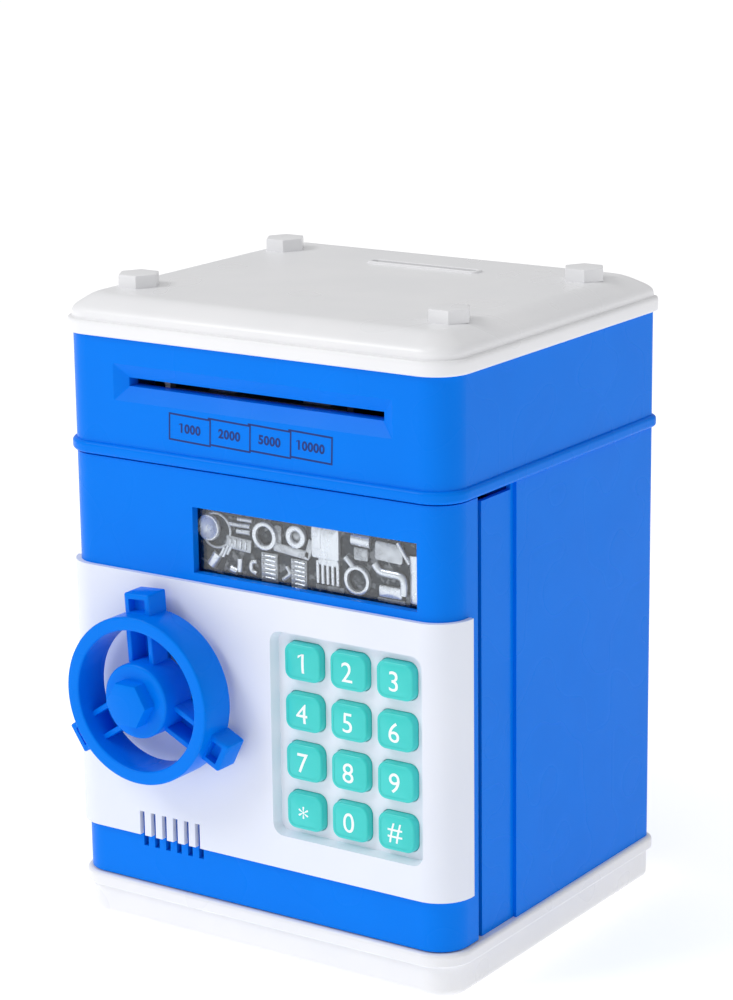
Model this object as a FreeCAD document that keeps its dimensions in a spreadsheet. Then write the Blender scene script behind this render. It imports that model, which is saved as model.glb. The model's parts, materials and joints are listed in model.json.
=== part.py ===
# Toy ATM savings bank, a parametric FreeCAD document in millimetres.
#
# Frame: +Z is up, +X is to the right of someone facing the keypad, the front looks along -Y.
# The origin is the middle of the base's underside. The door is shut and its bolt is drawn back.
import FreeCAD, Part
import math
import os
import re
import Sketcher
from FreeCAD import Placement, Rotation, Vector

sizes = {
    # cabinet
    "bodyWidth": 130.0, "bodyDepth": 113.4, "frontRadius": 9.0, "backRadius": 3.0,
    "wall": 2.4, "edgeRadius": 1.2,
    "baseHeight": 13.5, "rimHeight": 3.9, "rimProud": 1.5, "trayFloor": 2.4, "footRadius": 2.2,
    "headLow": 140.6, "headHigh": 175.1, "beadHeight": 3.6, "beadProud": 1.25,
    "lipStep": 1.0, "lipDepth": 16.7, "lipDrop": 2.2,
    "openingWidth": 100.0, "openingFront": 28.0, "openingBackInset": 8.0,
    # lid
    "lidRim": 4.2, "lidWall": 2.5, "lidInset": 1.3, "lidSlopeRun": 6.0, "lidSlopeRise": 4.2,
    "lidTopRadius": 5.0, "lidLipDrop": 4.0, "lidBoltReach": 11.0,
    "boltInsetX": 12.5, "boltInsetY": 20.7, "boltAcross": 12.5, "boltHeadHeight": 3.8, "postRadius": 4.0,
    "coinSlotLength": 36.0, "coinSlotWidth": 3.0, "coinRim": 1.1, "coinRimHeight": 0.7,
    "coinSlotX": 2.0, "coinSlotY": 30.0,
    # door and its overlay panel
    "doorGap": 0.4, "doorReturn": 5.9, "seamGap": 3.1, "panelProud": 1.6, "swingClearance": 0.4,
    "panelLow": 28.8, "panelHigh": 108.1, "panelReturn": 1.2, "hingePinRadius": 2.0, "runningFit": 0.05,
    "hingePinReach": 2.2, "hingePinLength": 14.0,
    # window
    "windowX": 17.7, "windowZ": 120.05, "windowWidth": 74.6, "windowHeight": 19.0, "windowLap": 1.0,
    "lensThickness": 1.2, "reliefThickness": 2.6,
    # keypad
    "keypadX": 32.3, "keypadZ": 68.6, "keypadWidth": 50.0, "keypadHeight": 59.8, "keypadDepth": 3.0,
    "keypadFloor": 1.5, "keypadDraft": 0.9, "keyPitchX": 15.25, "keyPitchZ": 14.5, "keyShift": 0.6,
    "keyWidth": 11.9, "keyHeight": 10.6, "keyGap": 0.25, "keyCrown": 0.3, "keyFlange": 0.8,
    "keyFlangeThickness": 1.0, "keyTravel": 1.5,
    "keyBackGap": 0.2, "keyRadius": 2.6, "keyEdge": 0.8, "membraneThickness": 1.0, "boardThickness": 1.6,
    "domeHeight": 0.4, "domeRadius": 3.5,
    # speaker grille
    "grilleX": -29.7, "grilleLow": 25.0, "grilleHigh": 36.1, "grillePitch": 4.0, "grilleSlot": 1.7,
    "speakerRadius": 12.5, "speakerDepth": 6.3,
    # handwheel, its shaft and the lock
    "knobInset": 36.1, "knobZ": 75.5, "knobRadius": 24.5, "knobBand": 4.0, "knobGap": 3.0,
    "knobFront": 15.0, "lugReach": 30.2, "lugWidth": 8.9, "lugDepth": 7.6, "lugSetback": 4.2,
    "lugPocket": 2.6, "ribWall": 1.6, "spokeSetback": 4.0, "spokeWidth": 9.0, "wheelTurn": -3.6,
    "hubRadius": 10.9, "hexAcross": 14.0, "hexHeight": 4.5, "stemRadius": 5.0, "shaftRadius": 2.5,
    "gearModule": 0.8, "pinionTeeth": 10.0, "lockDepth": 22.3, "lockThick": 4.0, "boltBarHeight": 6.6,
    "boltTailReach": 11.1, "boltPlay": 0.15, "plungerX": 21.0, "plungerRadius": 2.2,
    "plungerTravel": 3.0, "plungerLength": 18.0, "notchDepth": 3.4, "notchHalf": 2.6, "turnAngle": 90.0,
    "guideLeft": -8.0, "guideRight": 36.0, "guideWidth": 8.0, "solenoidWidth": 14.0,
    "solenoidHeight": 21.0, "solenoidBoreDepth": 17.0,
    # inner cover and battery box
    "coverInsetLeft": 19.0, "coverInsetRight": 11.0, "coverFootGap": 3.7, "coverHeadGap": 3.6,
    "coverDepth": 27.7, "coverSetback": 8.9, "coverWall": 1.6, "coverPlate": 2.0,
    "screwPost": 2.4, "pilot": 0.9, "postInsetLeft": 4.2, "postInsetRight": 5.0, "postInsetTop": 4.1,
    "postLow": 24.0, "postLowX": -10.0, "postMiddle": 55.0, "postUpper": 105.5,
    "cellRadius": 7.15, "cellLength": 50.5, "cellPitch": 15.0, "cellX": 23.4, "cellZ": 43.4,
    "contactGap": 1.75, "boxWall": 1.4,
    # bill feeder
    "slotX": 0.7, "slotZ": 162.4, "slotWidth": 86.0, "slotHeight": 2.5, "bezelWidth": 94.0,
    "bezelHeight": 10.6, "bezelDepth": 2.2, "bezelPad": 3.8, "feedDepth": 14.3, "feedRadius": 5.0,
    "pressRadius": 4.0, "billGap": 0.4, "rollerX": 16.0, "rollerWidth": 9.5, "feedShaft": 1.5,
    "pressShaft": 1.2, "frameX": 30.0, "framePlate": 2.0, "motorPlateX": -41.2, "motorPlate": 1.6,
    "motorRadius": 10.0, "motorLength": 18.0, "motorShaftRadius": 1.0, "motorNose": 2.4,
    "trainModule": 0.6, "feedTeeth": 24.0, "smallTeeth": 12.0, "bigTeeth": 30.0,
    "gearFace": 3.0, "gearGap": 0.6, "idlerPin": 1.0,
    # joint screws
    "bossRadius": 3.4, "bossHeight": 14.0, "bossInset": 7.0, "bossBackInset": 6.7, "bossFrontInset": 36.7,
    "screwRadius": 1.25, "screwHead": 2.6, "screwHeadHeight": 1.8, "screwLength": 12.0,
}

doc = FreeCAD.newDocument("AtmBank")
sheet = doc.addObject("Spreadsheet::Sheet", "dims")
for row, (alias, amount) in enumerate(sizes.items(), 1):
    sheet.set(f"A{row}", alias)
    sheet.set(f"B{row}", str(amount))
    sheet.setAlias(f"B{row}", alias)
doc.recompute()

# Places that follow the cabinet's outline, by name.
places = {
    "boltTip": "coverRight",
    "boltTail": "(knobX - boltTailReach)",
    "coverLeft": "(-bodyWidth/2 + coverInsetLeft)",
    "coverRight": "(bodyWidth/2 - coverInsetRight)",
    "coverLow": "(baseHeight + coverFootGap)",
    "coverHigh": "(headLow - coverHeadGap)",
    "coverBack": "(-bodyDepth/2 + coverDepth)",
    "coverFront": "(-bodyDepth/2 + coverSetback)",
    "knobX": "(-bodyWidth/2 + knobInset)",
    "lockY": "(-bodyDepth/2 + lockDepth)",
    "feedY": "(-bodyDepth/2 + feedDepth)",
    "bossX": "(bodyWidth/2 - bossInset)",
    "bossBackY": "(bodyDepth/2 - bossBackInset)",
    "bossFrontY": "(-bodyDepth/2 + bossFrontInset)",
}
aliasPattern = re.compile(r"\b(" + "|".join(sizes) + r")\b")
nodes = []


def linked(formula):
    """The formula with named places spelt out and each size's name pointing at its cell of the sheet."""
    text = str(formula)
    for word, meaning in places.items():
        text = re.sub(rf"\b{word}\b", meaning, text)
    return aliasPattern.sub(r"dims.\1", text)


def value(formula):
    """The number a formula gives now, for starting geometry and computed shapes."""
    return float(sheet.evalExpression(linked(formula)))


def bind(thing, prop, formula):
    thing.setExpression(prop, linked(formula))


def place(thing, at, turn=None):
    """Puts the thing's own origin at three formulas, turned by a fixed rotation."""
    if turn is not None:
        thing.Placement = Placement(Vector(), turn)
    for axis, formula in zip("xyz", at):
        bind(thing, f"Placement.Base.{axis}", formula)
    return thing


alongX = Rotation(Vector(0, 1, 0), 90)
alongY = Rotation(Vector(1, 0, 0), -90)
faceFront = Rotation(Vector(1, 0, 0), 90)


def block(label, x, y, z):
    """A box between three pairs of low and high formulas."""
    box = doc.addObject("Part::Box", label)
    for prop, (low, high) in zip(("Length", "Width", "Height"), (x, y, z)):
        bind(box, prop, f"({high}) - ({low})")
    return place(box, (x[0], y[0], z[0]))


def rod(label, radius, at, length, turn=None):
    """A cylinder that starts at a point and runs along +Z, or along +X or +Y when turned."""
    cylinder = doc.addObject("Part::Cylinder", label)
    bind(cylinder, "Radius", radius)
    bind(cylinder, "Height", length)
    return place(cylinder, at, turn)


def fuse(label, *pieces):
    joined = doc.addObject("Part::MultiFuse", label)
    joined.Shapes = list(pieces)
    joined.Refine = True
    return joined


def cut(label, piece, *tools):
    """The piece less its tools."""
    result = doc.addObject("Part::Cut", label)
    result.Base = piece
    result.Tool = tools[0] if len(tools) == 1 else fuse(label + "Tools", *tools)
    result.Refine = True
    return result


def group(label, *pieces):
    """Identical separate solids kept in one node."""
    together = doc.addObject("Part::Compound", label)
    together.Links = list(pieces)
    return together


def grown(limits, margin):
    """A pair of limits moved apart by a margin each."""
    return (f"{limits[0]} - ({margin})", f"{limits[1]} + ({margin})")


def outline(sketch, x, y, radii):
    """A rectangle between formulas with a tangent arc of its own radius at each corner."""
    left, right = value(x[0]), value(x[1])
    low, high = value(y[0]), value(y[1])
    corner = [value(radius) for radius in radii]
    ends = [
        ((left + corner[0], low), (right - corner[1], low)),
        ((right, low + corner[1]), (right, high - corner[2])),
        ((right - corner[2], high), (left + corner[3], high)),
        ((left, high - corner[3]), (left, low + corner[0])),
    ]
    for start, end in ends:
        sketch.addGeometry(Part.LineSegment(Vector(*start, 0), Vector(*end, 0)))
    centres = [
        (right - corner[1], low + corner[1], corner[1], -90),
        (right - corner[2], high - corner[2], corner[2], 0),
        (left + corner[3], high - corner[3], corner[3], 90),
        (left + corner[0], low + corner[0], corner[0], 180),
    ]
    for centreX, centreY, radius, start in centres:
        circle = Part.Circle(Vector(centreX, centreY, 0), Vector(0, 0, 1), radius)
        sketch.addGeometry(Part.ArcOfCircle(circle, math.radians(start), math.radians(start + 90)))
    for line in range(4):
        sketch.addConstraint(Sketcher.Constraint("Horizontal" if line % 2 == 0 else "Vertical", line))
        sketch.addConstraint(Sketcher.Constraint("Tangent", line, 2, 4 + line, 1))
        sketch.addConstraint(Sketcher.Constraint("Tangent", 4 + line, 2, (line + 1) % 4, 1))
    driving = [
        (Sketcher.Constraint("DistanceX", -1, 1, 3, 1, left), x[0]),
        (Sketcher.Constraint("DistanceX", -1, 1, 1, 1, right), x[1]),
        (Sketcher.Constraint("DistanceY", -1, 1, 0, 1, low), y[0]),
        (Sketcher.Constraint("DistanceY", -1, 1, 2, 1, high), y[1]),
    ]
    arcs = list(zip(corner, radii))
    for arc, (radius, formula) in enumerate(arcs[1:] + arcs[:1]):
        driving.append((Sketcher.Constraint("Radius", 4 + arc, radius), formula))
    for constraint, formula in driving:
        index = sketch.addConstraint(constraint)
        bind(sketch, f"Constraints[{index}]", formula)


def slab(label, x, y, z, radii, turn=None, rounded=None, foot=None):
    """A padded rounded rectangle. radii run from the low left corner anticlockwise.

    With turn=faceFront the rectangle lies in X and Z, and z holds the back and the front as y values.
    rounded and foot are the radii of the edges round its far face and round its near one.
    """
    near, far = (z[1], z[0]) if turn is faceFront else z
    body = doc.addObject("PartDesign::Body", label)
    sketch = body.newObject("Sketcher::SketchObject", label + "Outline")
    floor = [plane for plane in body.Origin.OriginFeatures if plane.Role == "XY_Plane"][0]
    sketch.AttachmentSupport = [(floor, "")]
    sketch.MapMode = "FlatFace"
    outline(sketch, x, y, radii)
    pad = body.newObject("PartDesign::Pad", label + "Pad")
    pad.Profile = sketch
    bind(pad, "Length", f"({far}) - ({near})")
    doc.recompute()
    last = pad
    for end, radius, choose in (("Top", rounded, max), ("Foot", foot, min)):
        if radius is None:
            continue
        faces = last.Shape.Faces
        flat = choose(range(len(faces)), key=lambda index: faces[index].CenterOfMass.z)
        fillet = body.newObject("PartDesign::Fillet", label + end)
        fillet.Base = (last, [f"Face{flat + 1}"])
        bind(fillet, "Radius", radius)
        body.Tip = fillet
        last = fillet
        doc.recompute()
    at = ("0", z[0], "0") if turn is faceFront else ("0", "0", z[0])
    return place(body, at, turn)


def planSketch(label, x, y, z, radii):
    """A loose rounded rectangle at a height, one section of a loft."""
    sketch = doc.addObject("Sketcher::SketchObject", label)
    outline(sketch, x, y, radii)
    bind(sketch, "Placement.Base.z", z)
    return sketch


def frontSection(label, x, z, y, radius, grow="0", growHigh=None):
    """An upright section at a y formula; grow widens it, and growHigh heightens it by another amount."""
    sketch = doc.addObject("Sketcher::SketchObject", label)
    outline(sketch, grown(x, grow), grown(z, growHigh or grow), (radius,) * 4)
    return place(sketch, ("0", y, "0"), faceFront)


def loft(label, *sections):
    skin = doc.addObject("Part::Loft", label)
    skin.Sections = list(sections)
    skin.Solid = True
    skin.Ruled = True
    return skin


def ring(label, outer, inner, at, length, turn=None):
    """A tube; its bore may be the outside of what it is pressed on."""
    outside = rod(label + "Outer", outer, at, length, turn)
    return cut(label, outside, rod(label + "Bore", inner, at, length, turn))


def node(name, thing):
    """Names a finished sub-part: the name is its Label and its file."""
    thing.Label = name
    nodes.append(thing)
    return thing


def plan(grow="0"):
    """The x and y limits of the cabinet's outline, grown all round."""
    return (
        (f"-bodyWidth/2 - ({grow})", f"bodyWidth/2 + ({grow})"),
        (f"-bodyDepth/2 - ({grow})", f"bodyDepth/2 + ({grow})"),
    )


def planRadii(grow="0"):
    """Corner radii that follow the outline when it grows; an inner corner never gets sharper than 0.4."""
    front, back = (f"max({corner} + ({grow}); 0.4)" for corner in ("frontRadius", "backRadius"))
    return (front, front, back, back)


def planSlab(label, z, grow="0", rounded=None, foot=None):
    x, y = plan(grow)
    return slab(label, x, y, z, planRadii(grow), rounded=rounded, foot=foot)


# places that many pieces share
frontY = "(-bodyDepth/2)"
panelY = "(-bodyDepth/2 - panelProud)"
innerY = "(-bodyDepth/2 + wall)"
hingeX = "(-bodyWidth/2 + frontRadius)"
hingeY = "(-bodyDepth/2 + frontRadius)"
doorEndY = f"({hingeY} + doorReturn)"
jambY = f"({doorEndY} + seamGap)"
doorLow = "(baseHeight + doorGap)"
doorHigh = "(headLow - doorGap)"
swingRadius = "(frontRadius + panelProud + swingClearance)"
headFloor = "(headLow + wall)"
lidTop = "(headHigh + lidRim + lidWall + lidSlopeRise)"
pitchRadius = "(gearModule*pinionTeeth/2)"
rackPitchZ = f"(knobZ + {pitchRadius})"
barLow = f"({rackPitchZ} + gearModule)"
barTop = f"({barLow} + boltBarHeight)"
lockFront = "(lockY - lockThick/2)"
coverInnerY = "(coverBack - coverPlate)"
boltTravel = f"({pitchRadius}*turnAngle*pi/180)"
bossSpots = [(side, back) for side in ("-bossX", "bossX") for back in ("bossFrontY", "bossBackY")]


def screw(label, at, length="screwLength", turn=None):
    """A pan-head screw; it starts at the top of its head and points along the turn."""
    head = rod(label + "Head", "screwHead", at, "screwHeadHeight", turn)
    shank = rod(label + "Shank", "screwRadius", at, length, turn)
    return fuse(label, head, shank)


# ---------------------------------------------------------------- base tray
tray = fuse(
    "trayOutside",
    planSlab("trayWall", ("0", "baseHeight - rimHeight"), "-0.1", foot="footRadius"),
    planSlab("trayRim", ("baseHeight - rimHeight", "baseHeight"), "rimProud", "edgeRadius", "edgeRadius/2"),
)
trayHollow = slab(
    "trayHollow",
    ("-bodyWidth/2 + wall", "bodyWidth/2 - wall"),
    (f"{doorEndY} + wall", "bodyDepth/2 - wall"),
    ("trayFloor", "baseHeight"),
    ("backRadius",) * 4,
)
trayPillars = []
trayHoles = []
for index, (side, back) in enumerate(bossSpots):
    trayPillars.append(rod(f"trayPillar{index}", "bossRadius + 0.8", (side, back, "0"), "baseHeight"))
    trayHoles.append(rod(f"trayHole{index}", "screwRadius", (side, back, "0"), "baseHeight"))
    trayHoles.append(rod(f"trayHead{index}", "screwHead", (side, back, "0"), "screwHeadHeight + 0.4"))
trayPin = rod(
    "trayPin", "hingePinRadius + runningFit",
    (hingeX, hingeY, f"{doorLow} - doorGap - hingePinReach - 1"), "hingePinReach + 1",
)
trayBody = fuse("trayBody", cut("trayShell", tray, trayHollow), *trayPillars)
node("base_tray", cut("baseTray", trayBody, trayPin, *trayHoles))

baseScrews = []
for index, (side, back) in enumerate(bossSpots):
    baseScrews.append(screw(f"baseScrew{index}", (side, back, "0.4"), "baseHeight + screwLength - 2"))
node("base_screws", group("baseScrews", *baseScrews))

# ---------------------------------------------------------------- cabinet shell
shellWalls = cut(
    "shellWalls",
    planSlab("shellOutside", ("baseHeight", "headLow")),
    planSlab("shellInside", ("baseHeight", "headLow"), "-wall"),
)
farX = "(bodyWidth/2 + 5)"
doorway = block("doorway", (hingeX, farX), (f"{frontY} - 5", jambY), ("baseHeight", "headLow"))
barrelWay = block("barrelWay", (f"-{farX}", hingeX), (f"{frontY} - 5", hingeY), ("baseHeight", "headLow"))
barrelGroove = rod("barrelGroove", swingRadius, (hingeX, hingeY, "baseHeight"), "headLow - baseHeight")
lipStep = block(
    "lipStepCut", ("bodyWidth/2 - lipStep", farX), (jambY, f"{jambY} + lipDepth"), ("baseHeight", "headLow")
)
lipNotch = block(
    "lipNotchCut", ("bodyWidth/2 - wall - 1", farX), (jambY, f"{jambY} + lipDepth - 1.6"),
    ("headLow - lipDrop", "headLow"),
)
shellBosses = []
shellPilots = []
for index, (side, back) in enumerate(bossSpots):
    for end, foot in (("Low", "baseHeight"), ("High", "headLow - bossHeight")):
        shellBosses.append(rod(f"shellBoss{end}{index}", "bossRadius", (side, back, foot), "bossHeight"))
        shellPilots.append(rod(f"shellPilot{end}{index}", "screwRadius", (side, back, foot), "bossHeight"))
bossWebs = []
for index, (side, back) in enumerate(bossSpots):
    edge = ("-bodyWidth/2 + wall - 0.2", side) if side[0] == "-" else (side, "bodyWidth/2 - wall + 0.2")
    for end, foot in (("Low", "baseHeight"), ("High", "headLow - bossHeight")):
        tall = (foot, f"{foot} + bossHeight")
        bossWebs.append(block(f"bossWeb{end}{index}", edge, (f"{back} - 1", f"{back} + 1"), tall))
shellCut = cut("shellCut", shellWalls, doorway, barrelWay, barrelGroove, lipStep, lipNotch)
shellBody = fuse("shellBody", shellCut, *shellBosses, *bossWebs)
node("cabinet_shell", cut("cabinetShell", shellBody, *shellPilots))

strikeIn = "(coverRight + 3.5)"
strikeBlock = block(
    "strikeBlock", (strikeIn, "bodyWidth/2 - wall"), (f"{jambY} + 0.5", f"{coverInnerY} + 3"),
    (f"{barLow} - 4", f"{barTop} + 4"),
)
strikePocket = block(
    "strikePocket", (strikeIn, f"boltTip + {boltTravel} + 1"),
    (f"{lockFront} - 0.4", f"{lockFront} + lockThick + 0.4"), (f"{barLow} - 0.4", f"{barTop} + 0.4"),
)
node("strike_block", cut("strike", strikeBlock, strikePocket))

# ---------------------------------------------------------------- upper housing
headOutside = fuse(
    "headOutside",
    planSlab("headWall", ("headLow", "headHigh")),
    planSlab("headBead", ("headLow", "headLow + beadHeight"), "beadProud", "edgeRadius", "edgeRadius"),
)
headInside = planSlab("headInside", (headFloor, "headHigh"), "-wall")
headOpening = block(
    "headOpening", ("-openingWidth/2", "openingWidth/2"),
    ("-openingFront", "bodyDepth/2 - openingBackInset"), ("headLow", headFloor),
)
boltSpots = [
    (f"{side}*(bodyWidth/2 - boltInsetX)", f"{end}*(bodyDepth/2 - boltInsetY)")
    for side in (-1, 1) for end in (-1, 1)
]
headPosts = []
headPostHoles = []
for index, (x, y) in enumerate(boltSpots):
    headPosts.append(rod(f"headPost{index}", "postRadius", (x, y, "headLow"), "headHigh - headLow"))
    headPostHoles.append(rod(f"headPostHole{index}", "screwRadius", (x, y, "headHigh - 12"), "12"))
slotPad = block(
    "slotPad", ("slotX - bezelWidth/2 - 2", "slotX + bezelWidth/2 + 2"),
    (f"{innerY} - 0.5", f"{innerY} + bezelPad"),
    ("slotZ - bezelHeight/2 - 1.5", "slotZ + bezelHeight/2 + 1.5"),
)
slotMiddle = (("slotX", "slotX"), ("slotZ", "slotZ"))
bezelFloor = f"{frontY} + bezelDepth"
bezelCut = loft(
    "bezelCut",
    frontSection("bezelThroat", *slotMiddle, bezelFloor, "0.3", "slotWidth/2", "slotHeight/2"),
    frontSection("bezelMouth", *slotMiddle, frontY, "0.3", "bezelWidth/2", "bezelHeight/2"),
)
slotCut = block(
    "slotCut", ("slotX - slotWidth/2", "slotX + slotWidth/2"), (frontY, f"{innerY} + bezelPad + 1"),
    ("slotZ - slotHeight/2", "slotZ + slotHeight/2"),
)
headPin = rod("headPin", "hingePinRadius + runningFit", (hingeX, hingeY, "headLow"), "wall")
headScrewHoles = []
headScrews = []
for index, (side, back) in enumerate(bossSpots):
    headScrewHoles.append(rod(f"headScrewHole{index}", "screwRadius", (side, back, "headLow"), "wall"))
    drop = Rotation(Vector(1, 0, 0), 180)
    top = f"{headFloor} + screwHeadHeight"
    headScrews.append(screw(f"headScrew{index}", (side, back, top), "screwLength", drop))
headBody = fuse("headBody", cut("headShell", headOutside, headInside, headOpening), slotPad, *headPosts)
headCuts = [bezelCut, slotCut, headPin] + headPostHoles + headScrewHoles
node("upper_housing", cut("upperHousing", headBody, *headCuts))
node("housing_screws", group("housingScrews", *headScrews))

# ---------------------------------------------------------------- lid
lidBrim = planSlab("lidBrim", ("headHigh", "headHigh + lidRim"), "rimProud", "edgeRadius", "edgeRadius/2")


def lidSection(label, inset, z, front, back):
    x, y = plan(f"rimProud - ({inset})")
    return planSketch(label, x, y, z, (front, front, back, back))


lidFoot = "(headHigh + lidRim)"
lidCrown = loft(
    "lidCrown",
    lidSection("lidFootLine", "lidInset", f"{lidFoot} - 0.2", "frontRadius", "backRadius"),
    lidSection("lidShoulderLine", "lidInset", f"{lidFoot} + lidWall", "frontRadius", "backRadius"),
    lidSection("lidTopLine", "lidInset + lidSlopeRun", lidTop, "lidTopRadius", "lidTopRadius"),
)
hollowInset = "lidInset + wall + 0.5"
hollowShoulder = f"{lidFoot} + lidWall - 1"
hollowTopInset = "lidInset + lidSlopeRun + wall"
lidHollow = loft(
    "lidHollow",
    lidSection("hollowFoot", hollowInset, "headHigh - 1", "frontRadius - wall", "backRadius"),
    lidSection("hollowShoulder", hollowInset, hollowShoulder, "frontRadius - wall", "backRadius"),
    lidSection("hollowTop", hollowTopInset, f"{lidTop} - wall", "lidTopRadius", "lidTopRadius"),
)
lidLip = cut(
    "lidLip",
    planSlab("lidLipOut", ("headHigh - lidLipDrop", "headHigh + 0.5"), "-wall - 0.2"),
    planSlab("lidLipIn", ("headHigh - lidLipDrop", "headHigh + 0.5"), "-wall - 1.8"),
)
coinRim = slab(
    "coinRimSlab",
    ("coinSlotX - coinSlotLength/2 - coinRim", "coinSlotX + coinSlotLength/2 + coinRim"),
    ("coinSlotY - coinSlotWidth/2 - coinRim", "coinSlotY + coinSlotWidth/2 + coinRim"),
    (f"{lidTop} - 0.5", f"{lidTop} + coinRimHeight"), ("coinSlotWidth/2",) * 4,
)
coinCut = slab(
    "coinSlotCut",
    ("coinSlotX - coinSlotLength/2", "coinSlotX + coinSlotLength/2"),
    ("coinSlotY - coinSlotWidth/2", "coinSlotY + coinSlotWidth/2"),
    (f"{lidTop} - wall - 1", f"{lidTop} + coinRimHeight + 1"), ("coinSlotWidth/2 - 0.3",) * 4,
)
lidRise = f"{lidTop} - headHigh"
lidPosts = []
lidPostHoles = []
lidBolts = []
for index, (x, y) in enumerate(boltSpots):
    lidPosts.append(rod(f"lidPost{index}", "postRadius", (x, y, "headHigh"), f"{lidRise} - 0.5"))
    lidPostHoles.append(rod(f"lidPostHole{index}", "screwRadius", (x, y, "headHigh"), lidRise))
    head = doc.addObject("Part::Prism", f"lidBoltHead{index}")
    head.Polygon = 6
    bind(head, "Circumradius", "boltAcross/2")
    bind(head, "Height", "boltHeadHeight")
    place(head, (x, y, lidTop))
    shankFoot = (x, y, "headHigh - lidBoltReach")
    shank = rod(f"lidBoltShank{index}", "screwRadius", shankFoot, f"{lidRise} + lidBoltReach + 0.5")
    lidBolts.append(fuse(f"lidBolt{index}", head, shank))
lidShell = cut("lidShell", fuse("lidOutside", lidBrim, lidCrown, coinRim), lidHollow, coinCut)
lidBody = fuse("lidBody", lidShell, *lidPosts, lidLip)
lidPostWays = [
    rod(f"lipWay{index}", "postRadius + 0.3", (x, y, "headHigh - lidLipDrop"), "lidLipDrop")
    for index, (x, y) in enumerate(boltSpots)
]
node("lid", cut("lidFinished", lidBody, *lidPostHoles, *lidPostWays))
node("hex_bolts", group("hexBolts", *lidBolts))

# ---------------------------------------------------------------- door shell
def doorForm(label, grow, right, back, z):
    """The door's plan: a barrel round the hinge axis and a leaf with one rounded front corner."""
    leaf = slab(
        label + "Leaf", (hingeX, right), (f"{frontY} - ({grow})", back), z,
        ("0.4", f"frontRadius + ({grow})", "0.4", "0.4"),
    )
    tall = f"({z[1]}) - ({z[0]})"
    barrel = rod(label + "Barrel", f"frontRadius + ({grow})", (hingeX, hingeY, z[0]), tall)
    return fuse(label, leaf, barrel)


doorOutside = doorForm("doorOutside", "0", "bodyWidth/2", doorEndY, (doorLow, doorHigh))
barrelEdge = f"({hingeX} + frontRadius + 0.4)"
doorHollow = slab(
    "doorHollow", (barrelEdge, "bodyWidth/2 - wall"), (innerY, f"{doorEndY} + 1"),
    (f"{doorLow} + wall", f"{doorHigh} - wall"), ("0.4", "frontRadius - wall", "0.4", "0.4"),
)
barrelBore = rod(
    "barrelBore", "frontRadius - wall", (hingeX, hingeY, f"{doorLow} + hingePinLength"),
    f"{doorHigh} - {doorLow} - 2*hingePinLength",
)
windowX = ("windowX - windowWidth/2", "windowX + windowWidth/2")
windowZ = ("windowZ - windowHeight/2", "windowZ + windowHeight/2")
windowCut = block("windowCut", windowX, (f"{frontY} - 1", f"{innerY} + 0.1"), windowZ)
keypadX = ("keypadX - keypadWidth/2", "keypadX + keypadWidth/2")
keypadZ = ("keypadZ - keypadHeight/2", "keypadZ + keypadHeight/2")
tubX, tubZ = grown(keypadX, "keypadFloor"), grown(keypadZ, "keypadFloor")
tubBack = f"({panelY} + keypadDepth + keypadFloor)"
tubCut = block("tubCut", tubX, (f"{frontY} - 1", f"{tubBack} + 0.2"), tubZ)
stemStart = ("knobX", f"{panelY} - 1", "knobZ")
stemCut = rod("stemCut", "shaftRadius + runningFit", stemStart, "panelProud + wall + 3", alongY)


def grilleSlots(label):
    """Six upright slots across the panel's lower edge."""
    slots = []
    for index in range(6):
        middle = f"grilleX + {index - 2.5}*grillePitch"
        across = grown((middle, middle), "grilleSlot/2")
        slots.append(block(
            f"{label}{index}", across, (f"{panelY} - 1", f"{innerY} + 0.1"), ("grilleLow", "grilleHigh")
        ))
    return slots


pinGrip = "(hingePinLength - hingePinReach)"
pinHighAt = (hingeX, hingeY, f"{doorHigh} - {pinGrip}")
pinHoles = [
    rod("pinHoleLow", "hingePinRadius", (hingeX, hingeY, doorLow), pinGrip),
    rod("pinHoleHigh", "hingePinRadius", pinHighAt, pinGrip),
]
coverSpots = [
    ("coverLeft + postInsetLeft", "coverHigh - postInsetTop"),
    ("coverRight - postInsetRight", "coverHigh - postInsetTop"),
    ("coverLeft + postInsetLeft", "postMiddle"),
    ("postLowX", "postLow"),
    ("coverRight - postInsetRight", "postUpper"),
]
postLength = f"{coverInnerY} - {innerY} + 0.2"
doorPosts = []
doorPilots = []
for index, (x, z) in enumerate(coverSpots):
    doorPosts.append(rod(f"doorPost{index}", "screwPost", (x, f"{innerY} - 0.2", z), postLength, alongY))
    doorPilots.append(rod(f"doorPilot{index}", "pilot", (x, f"{coverInnerY} - 9", z), "9", alongY))
doorBody = fuse("doorBody", cut("doorLeaf", doorOutside, doorHollow, barrelBore), *doorPosts)
doorCuts = [windowCut, tubCut, stemCut] + grilleSlots("doorSlot") + pinHoles + doorPilots
node("door_shell", cut("doorShell", doorBody, *doorCuts))

pinReach = "(hingePinReach + doorGap)"
pinLowAt = (hingeX, hingeY, f"{doorLow} - {pinReach}")
hingePins = [
    rod("hingePinLow", "hingePinRadius", pinLowAt, f"{pinGrip} + {pinReach}"),
    rod("hingePinHigh", "hingePinRadius", pinHighAt, f"{pinGrip} + {pinReach}"),
]
node("hinge_pins", group("hingePins", *hingePins))

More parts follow.
